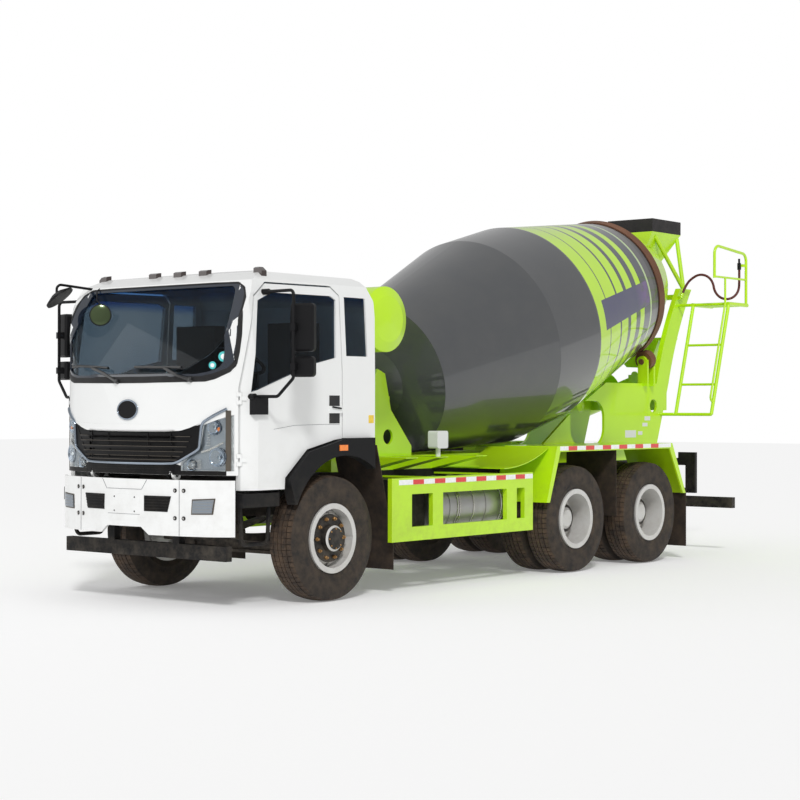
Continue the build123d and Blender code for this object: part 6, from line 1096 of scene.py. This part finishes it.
# (places across, height, height of the rib, lift, thickness)
LAMP_RIBS = [((585 + k * 14, 690, 715, 740), 1128 + k * 11, 4, -12, 8) for k in range(7)]
LAMP_RIBS += [((786 + k * 3, 806, 816), 1310 + k * 22, 5, -14, 6) for k in range(6)]
for side, way in SIDES:
    tray = Shape()
    tray.sheet(lamp_rows(way, 26), 4)
    fit_piece("headlamp_tray_" + side, tray, lamp_tray, "cab", 50)
    cover = Shape()
    cover.sheet(lamp_rows(way, -1), 4)
    cover_piece = fit_piece("headlamp_cover_" + side, cover, clear_cover, "cab", 60)
    if side == "left":
        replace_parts(cover_piece, "headlamps")
    bowls = Shape()
    bulbs = Shape()
    for y, z, r in BOWLS:
        place, normal = front(lamp_skin, way * y, z, -24)
        aim = (normal + Vector((0.8, 0, 0))).normalized()
        bowl = [(0, r * 0.3), (4, r * 0.62), (12, r * 0.9), (20, r), (22, r + 5), (0, r + 6)]
        bowls.turned(place - aim * 0.006, aim, bowl, 36, ring=True)
        bowls.turned(place - aim * 0.004, aim, [(0, r * 0.32), (3, r * 0.3)], 24)
        bulbs.turned(place, aim, [(0, r * 0.2), (10, r * 0.2), (15, r * 0.1)], 20)
    fit_piece("headlamp_bowls_" + side, bowls, chrome, "cab", 60)
    fit_piece("headlamp_bulbs_" + side, bulbs, lamp_lens, "cab", 60)
    amber = Shape()
    amber.turned(*front(lamp_skin, way * 884, 1442, -16), [(0, 17), (8, 15), (12, 8)], 20)
    fit_piece("headlamp_amber_" + side, amber, lamp_amber, "cab", 60)
    bars = Shape()
    divider = [front(lamp_skin, way * y, z, -10) for y, z in along_line(DIVIDER, 10)]
    bars.sheet([divider, [(place - Vector((0, 0, 0.016)), normal) for place, normal in divider]], 12)
    for reach, z, high, lift, thickness in LAMP_RIBS:
        rib = [[front(lamp_skin, way * y, level, lift) for y in reach] for level in (z, z + high)]
        bars.sheet(rib, thickness)
    fit_piece("headlamp_bars_" + side, bars, bright_steel, "cab")
    edge = Shape()
    edge.sheet([[on_nose(4, way)(y, z) for y in (930, 962)] for z in range(1112, 1612, 20)], 8)
    fit_piece("headlamp_edge_" + side, edge, slat_highlight_and_bezel, "cab", 50)
print("headlamp pieces done:", len(piece_count))

# %% [markdown]
# ## Front bumper
# The painted bumper carries two louvred vents, two fog lamps, eight round bolt holes and thin panel
# seams. The holes are dark discs, painted shade of their depth, and the crease lines across its top are
# thin grey strips of painted shade where the sheet folds; the upright seams are real joints. Its face is
# upright and only curved seen from above, so everything finds its depth from one height and is laid on
# as thin plates. Cutting them into the sheet would need booleans for marks that are a few millimetres
# deep.

# %% Bumper fittings
bumper = skin_of("front_bumper")
BUMPER_SOLID_Z = 940
plugs, vents, louvres, seam_lines_and_crease_shade, bezels, fog_lenses, fog_ribs = (Shape() for _ in range(7))
# (shape, top line, bottom line, lift, thickness) on the left half
BUMPER_MARKS = [
    (plugs, ((178, 853), (410, 853)), ((178, 727), (410, 727)), 1.5, 5),
    (vents, ((236, 906), (508, 906)), ((236, 780), (474, 780)), 4, 4),
    (seam_lines_and_crease_shade, ((583, 1034), (583, 592)), ((587, 1034), (587, 592)), 2, 3),
    # a diagonal crease line: a grey strip of painted shade where the sheet folds
    (seam_lines_and_crease_shade, ((262, 1034), (204, 953)), ((266, 1034), (208, 953)), 2, 3),
    (bezels, ((702, 886), (894, 896)), ((694, 764), (878, 768)), 3, 4),
    (fog_lenses, ((712, 876), (884, 886)), ((704, 774), (868, 778)), 9, 5)]
BUMPER_MARKS += [(louvres, ((244, 806 + 23 * k), (474 + 6 * k, 806 + 23 * k)),
                  ((244, 800 + 23 * k), (472 + 6 * k, 800 + 23 * k)), 12, 9) for k in range(5)]
BUMPER_MARKS += [(fog_ribs, ((716, 795 + 24 * k), (872, 796 + 24 * k)),
                  ((716, 790 + 24 * k), (872, 790 + 24 * k)), 12, 4) for k in range(4)]


def bumper_at(y, z, lift):
    """A point of the bumper's face; holes in the sheet are passed over."""
    place, normal = front(bumper, y, BUMPER_SOLID_Z, lift)
    return Vector((place.x, place.y, z / 1000)), normal


def bumper_strip(shape, top, bottom, lift, thickness, way=1, columns=12):
    shape.sheet(strip_rows(lambda y, z: bumper_at(way * y, z, lift), top, bottom, columns, 3), thickness)


for way in WAYS:
    for mark in BUMPER_MARKS:
        bumper_strip(*mark, way)
bumper_strip(plugs, ((-188, 912), (188, 912)), ((-188, 700), (188, 700)), 2, 5)
# The level crease line between the diagonal ones is also painted shade.
bumper_strip(seam_lines_and_crease_shade, ((-206, 956), (206, 956)), ((-206, 953), (206, 953)), 2, 3, columns=30)
bumper_strip(seam_lines_and_crease_shade, ((-188, 752), (188, 752)), ((-188, 749), (188, 749)), 3, 3, columns=30)
fit_piece("bumper_plugs", plugs, cab_white, "chassis", 50)
fit_piece("bumper_vents", vents, grille_black, "chassis", 50)
fit_piece("bumper_louvres", louvres, black_plastic, "chassis")
# This grey is the real colour of the panel joints and, on the crease lines, painted shade.
seam_and_crease_shade = dusty("seam_and_crease_shade", tone(120, 122, 126), 0.6, drift=0.1, dust=0.2)
fit_piece("bumper_seams", seam_lines_and_crease_shade, seam_and_crease_shade, "chassis", 50)

# The dark discs round the bolts and the small ones beside them are painted shade of the holes.
holes = Shape()
bolts = Shape()
for y, z in [(way * y, z) for way in WAYS for y in (546, 627) for z in (953, 732)]:
    place, normal = bumper_at(y, z, 1)
    holes.turned(place, normal, [(0, 17), (3, 17)], 24)
    bolts.turned(place + normal * 0.002, normal, [(0, 10), (7, 10), (9, 8)], 6)
for y, z in [(y, z) for y in (-108, 130) for z in (889, 774)]:
    holes.turned(*bumper_at(y, z, 2), [(0, 6), (3, 6)], 16)
fit_piece("bumper_holes", holes, grille_black, "chassis")
fit_piece("bumper_bolts", bolts, bright_steel, "chassis")
fit_piece("fog_bezels", bezels, slat_highlight_and_bezel, "chassis", 50)
fit_piece("fog_lenses", fog_lenses, lamp_tray, "chassis", 50)
fit_piece("fog_ribs", fog_ribs, chrome, "chassis")
print("bumper pieces done:", len(piece_count))

# %% [markdown]
# ## Door and cab side trim
# Each door carries a black recess with a grip, and one long crease, whose line is a thin grey strip of
# painted shade. These are laid on the door's own skin and ride on the door, so they swing with it. The
# yellow square and the amber marker stay on the cab.

# %% Side trim
CREASE = [(-110, 1473), (80, 1476), (449, 1470), (700, 1440)]
CREASE_SHADE_WIDTH = 3
plain_yellow = tinted("plain_yellow", tone(232, 196, 60), 0.5)
side_black = dusty("side_black", tone(26, 26, 28), 0.5, drift=0.2, dust=0.3, dust_top=2.0)
cab_skin = skin_of("cab_body")
arch_skin = skin_of("wheel_arches")
for side, way in SIDES:
    door = "door_" + side
    door_skin = skin_of(door)
    handle = Shape()
    handle.sheet(flank_rows(door_skin, way, (-112, 20), (1484, 1718), 1.5), 3)
    fit_piece("door_handle_recess_" + side, handle, side_black, door)
    grip = Shape()
    grip.rod(flank(door_skin, -100, 1610, 8, way)[0], flank(door_skin, 8, 1622, 8, way)[0], 7, 12)
    fit_piece("door_grip_" + side, grip, black_plastic, door)
    # The crease is drawn as a thin grey strip: painted shade along the fold.
    crease_shade = Shape()
    crease_shade.sheet(strip_rows(lambda x, z: flank(door_skin, x, z, 1, way), CREASE,
                            [(x, z + CREASE_SHADE_WIDTH) for x, z in CREASE], 24), 2)
    fit_piece("door_crease_" + side, crease_shade, seam_and_crease_shade, door)
    yellow = Shape()
    yellow.sheet(flank_rows(cab_skin, way, (-560, -492), (1484, 1552), 1.5), 2)
    fit_piece("cab_square_" + side, yellow, plain_yellow, "cab")
    marker = Shape()
    marker.sheet(flank_rows(arch_skin, way, (-158, -106, -54), (1256, 1280, 1304), 6), 10)
    fit_piece("cab_marker_" + side, marker, lamp_amber, "cab", 60)
print("side pieces done:", len(piece_count))

# %% [markdown]
# ## Reflecting tape
# White and red reflecting tape runs along the guard rail and the mudguards. The red squares repeat at
# one pitch, so each row is made with Geometry Nodes from one template.

# %% Tape along the side
TAPE_PITCH = 0.31
TAPE_SQUARES = 6


def side_block(shape, way, x_range, y_range, z_range):
    """A block on one flank; y is counted outwards from the middle."""
    y_low, y_high = sorted(way * y for y in y_range)
    shape.block((x_range[0], y_low, z_range[0]), (x_range[1], y_high, z_range[1]))


for side, way in SIDES:
    tape = Shape()
    side_block(tape, way, (-2788, -760), (1199, 1202), (946, 990))
    side_block(tape, way, (-5302, -3198), (1239, 1242), (1202, 1243))
    fit_piece("tape_" + side, tape, tape_white, "chassis")
    template = Shape()
    side_block(template, way, (-75 - AXLE_TO_MIDDLE, 75 - AXLE_TO_MIDDLE), (1201, 1204), (-21, 21))
    red = Shape()
    for start in (at(-1031, 0, 968), at(-3420, way * 40, 1222)):
        red.take(repeated(row_tree, template, tape_red, Count=TAPE_SQUARES, Start=tuple(start),
                          Step=(-TAPE_PITCH, 0.0, 0.0)), Matrix())
    fit_piece("tape_red_" + side, red, tape_red, "chassis")
print("tape squares per side:", 2 * TAPE_SQUARES)

# %% [markdown]
# ## Tank straps and plates
# The round tank hangs in bright straps, each an arc of thin tube round the tank. The rear column
# carries small plain plates, laid on its skin.

# %% Tank straps and plates
TANK_AXIS = (850, 720)
STRAP_R = 268
# (x, z, width, height)
PLATES = ((-5702, 1330, 226, 80), (-6058, 1500, 120, 46), (-6006, 1431, 108, 40), (-5905, 1337, 90, 40))
COLUMN_SIDE = 0.3
straps = Shape()
arc = [(TANK_AXIS[0] + STRAP_R * math.cos(a), TANK_AXIS[1] + STRAP_R * math.sin(a))
       for a in map(math.radians, range(-80, 101, 10))]
for x in (-1722, -1752, -1965, -2400):
    straps.tube([at(x, y, z) for y, z in arc], 9, 8)
fit_piece("tank_straps", straps, bright_steel, "chassis")
column_skin = skin_of("rear_pedestal")
plates = Shape()
for x, z, width, height in PLATES:
    rows = flank_rows(column_skin, 1, (x - width / 2, x, x + width / 2), (z - height / 2, z + height / 2), 1)
    if all(place.y > COLUMN_SIDE for row in rows for place, _ in row):
        plates.sheet(rows, 2)
fit_piece("blank_plates", plates, box_white, "chassis")
lamp_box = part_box("tail_lamps")
print("tail lamps", [round(v, 3) for corner in lamp_box for v in corner])
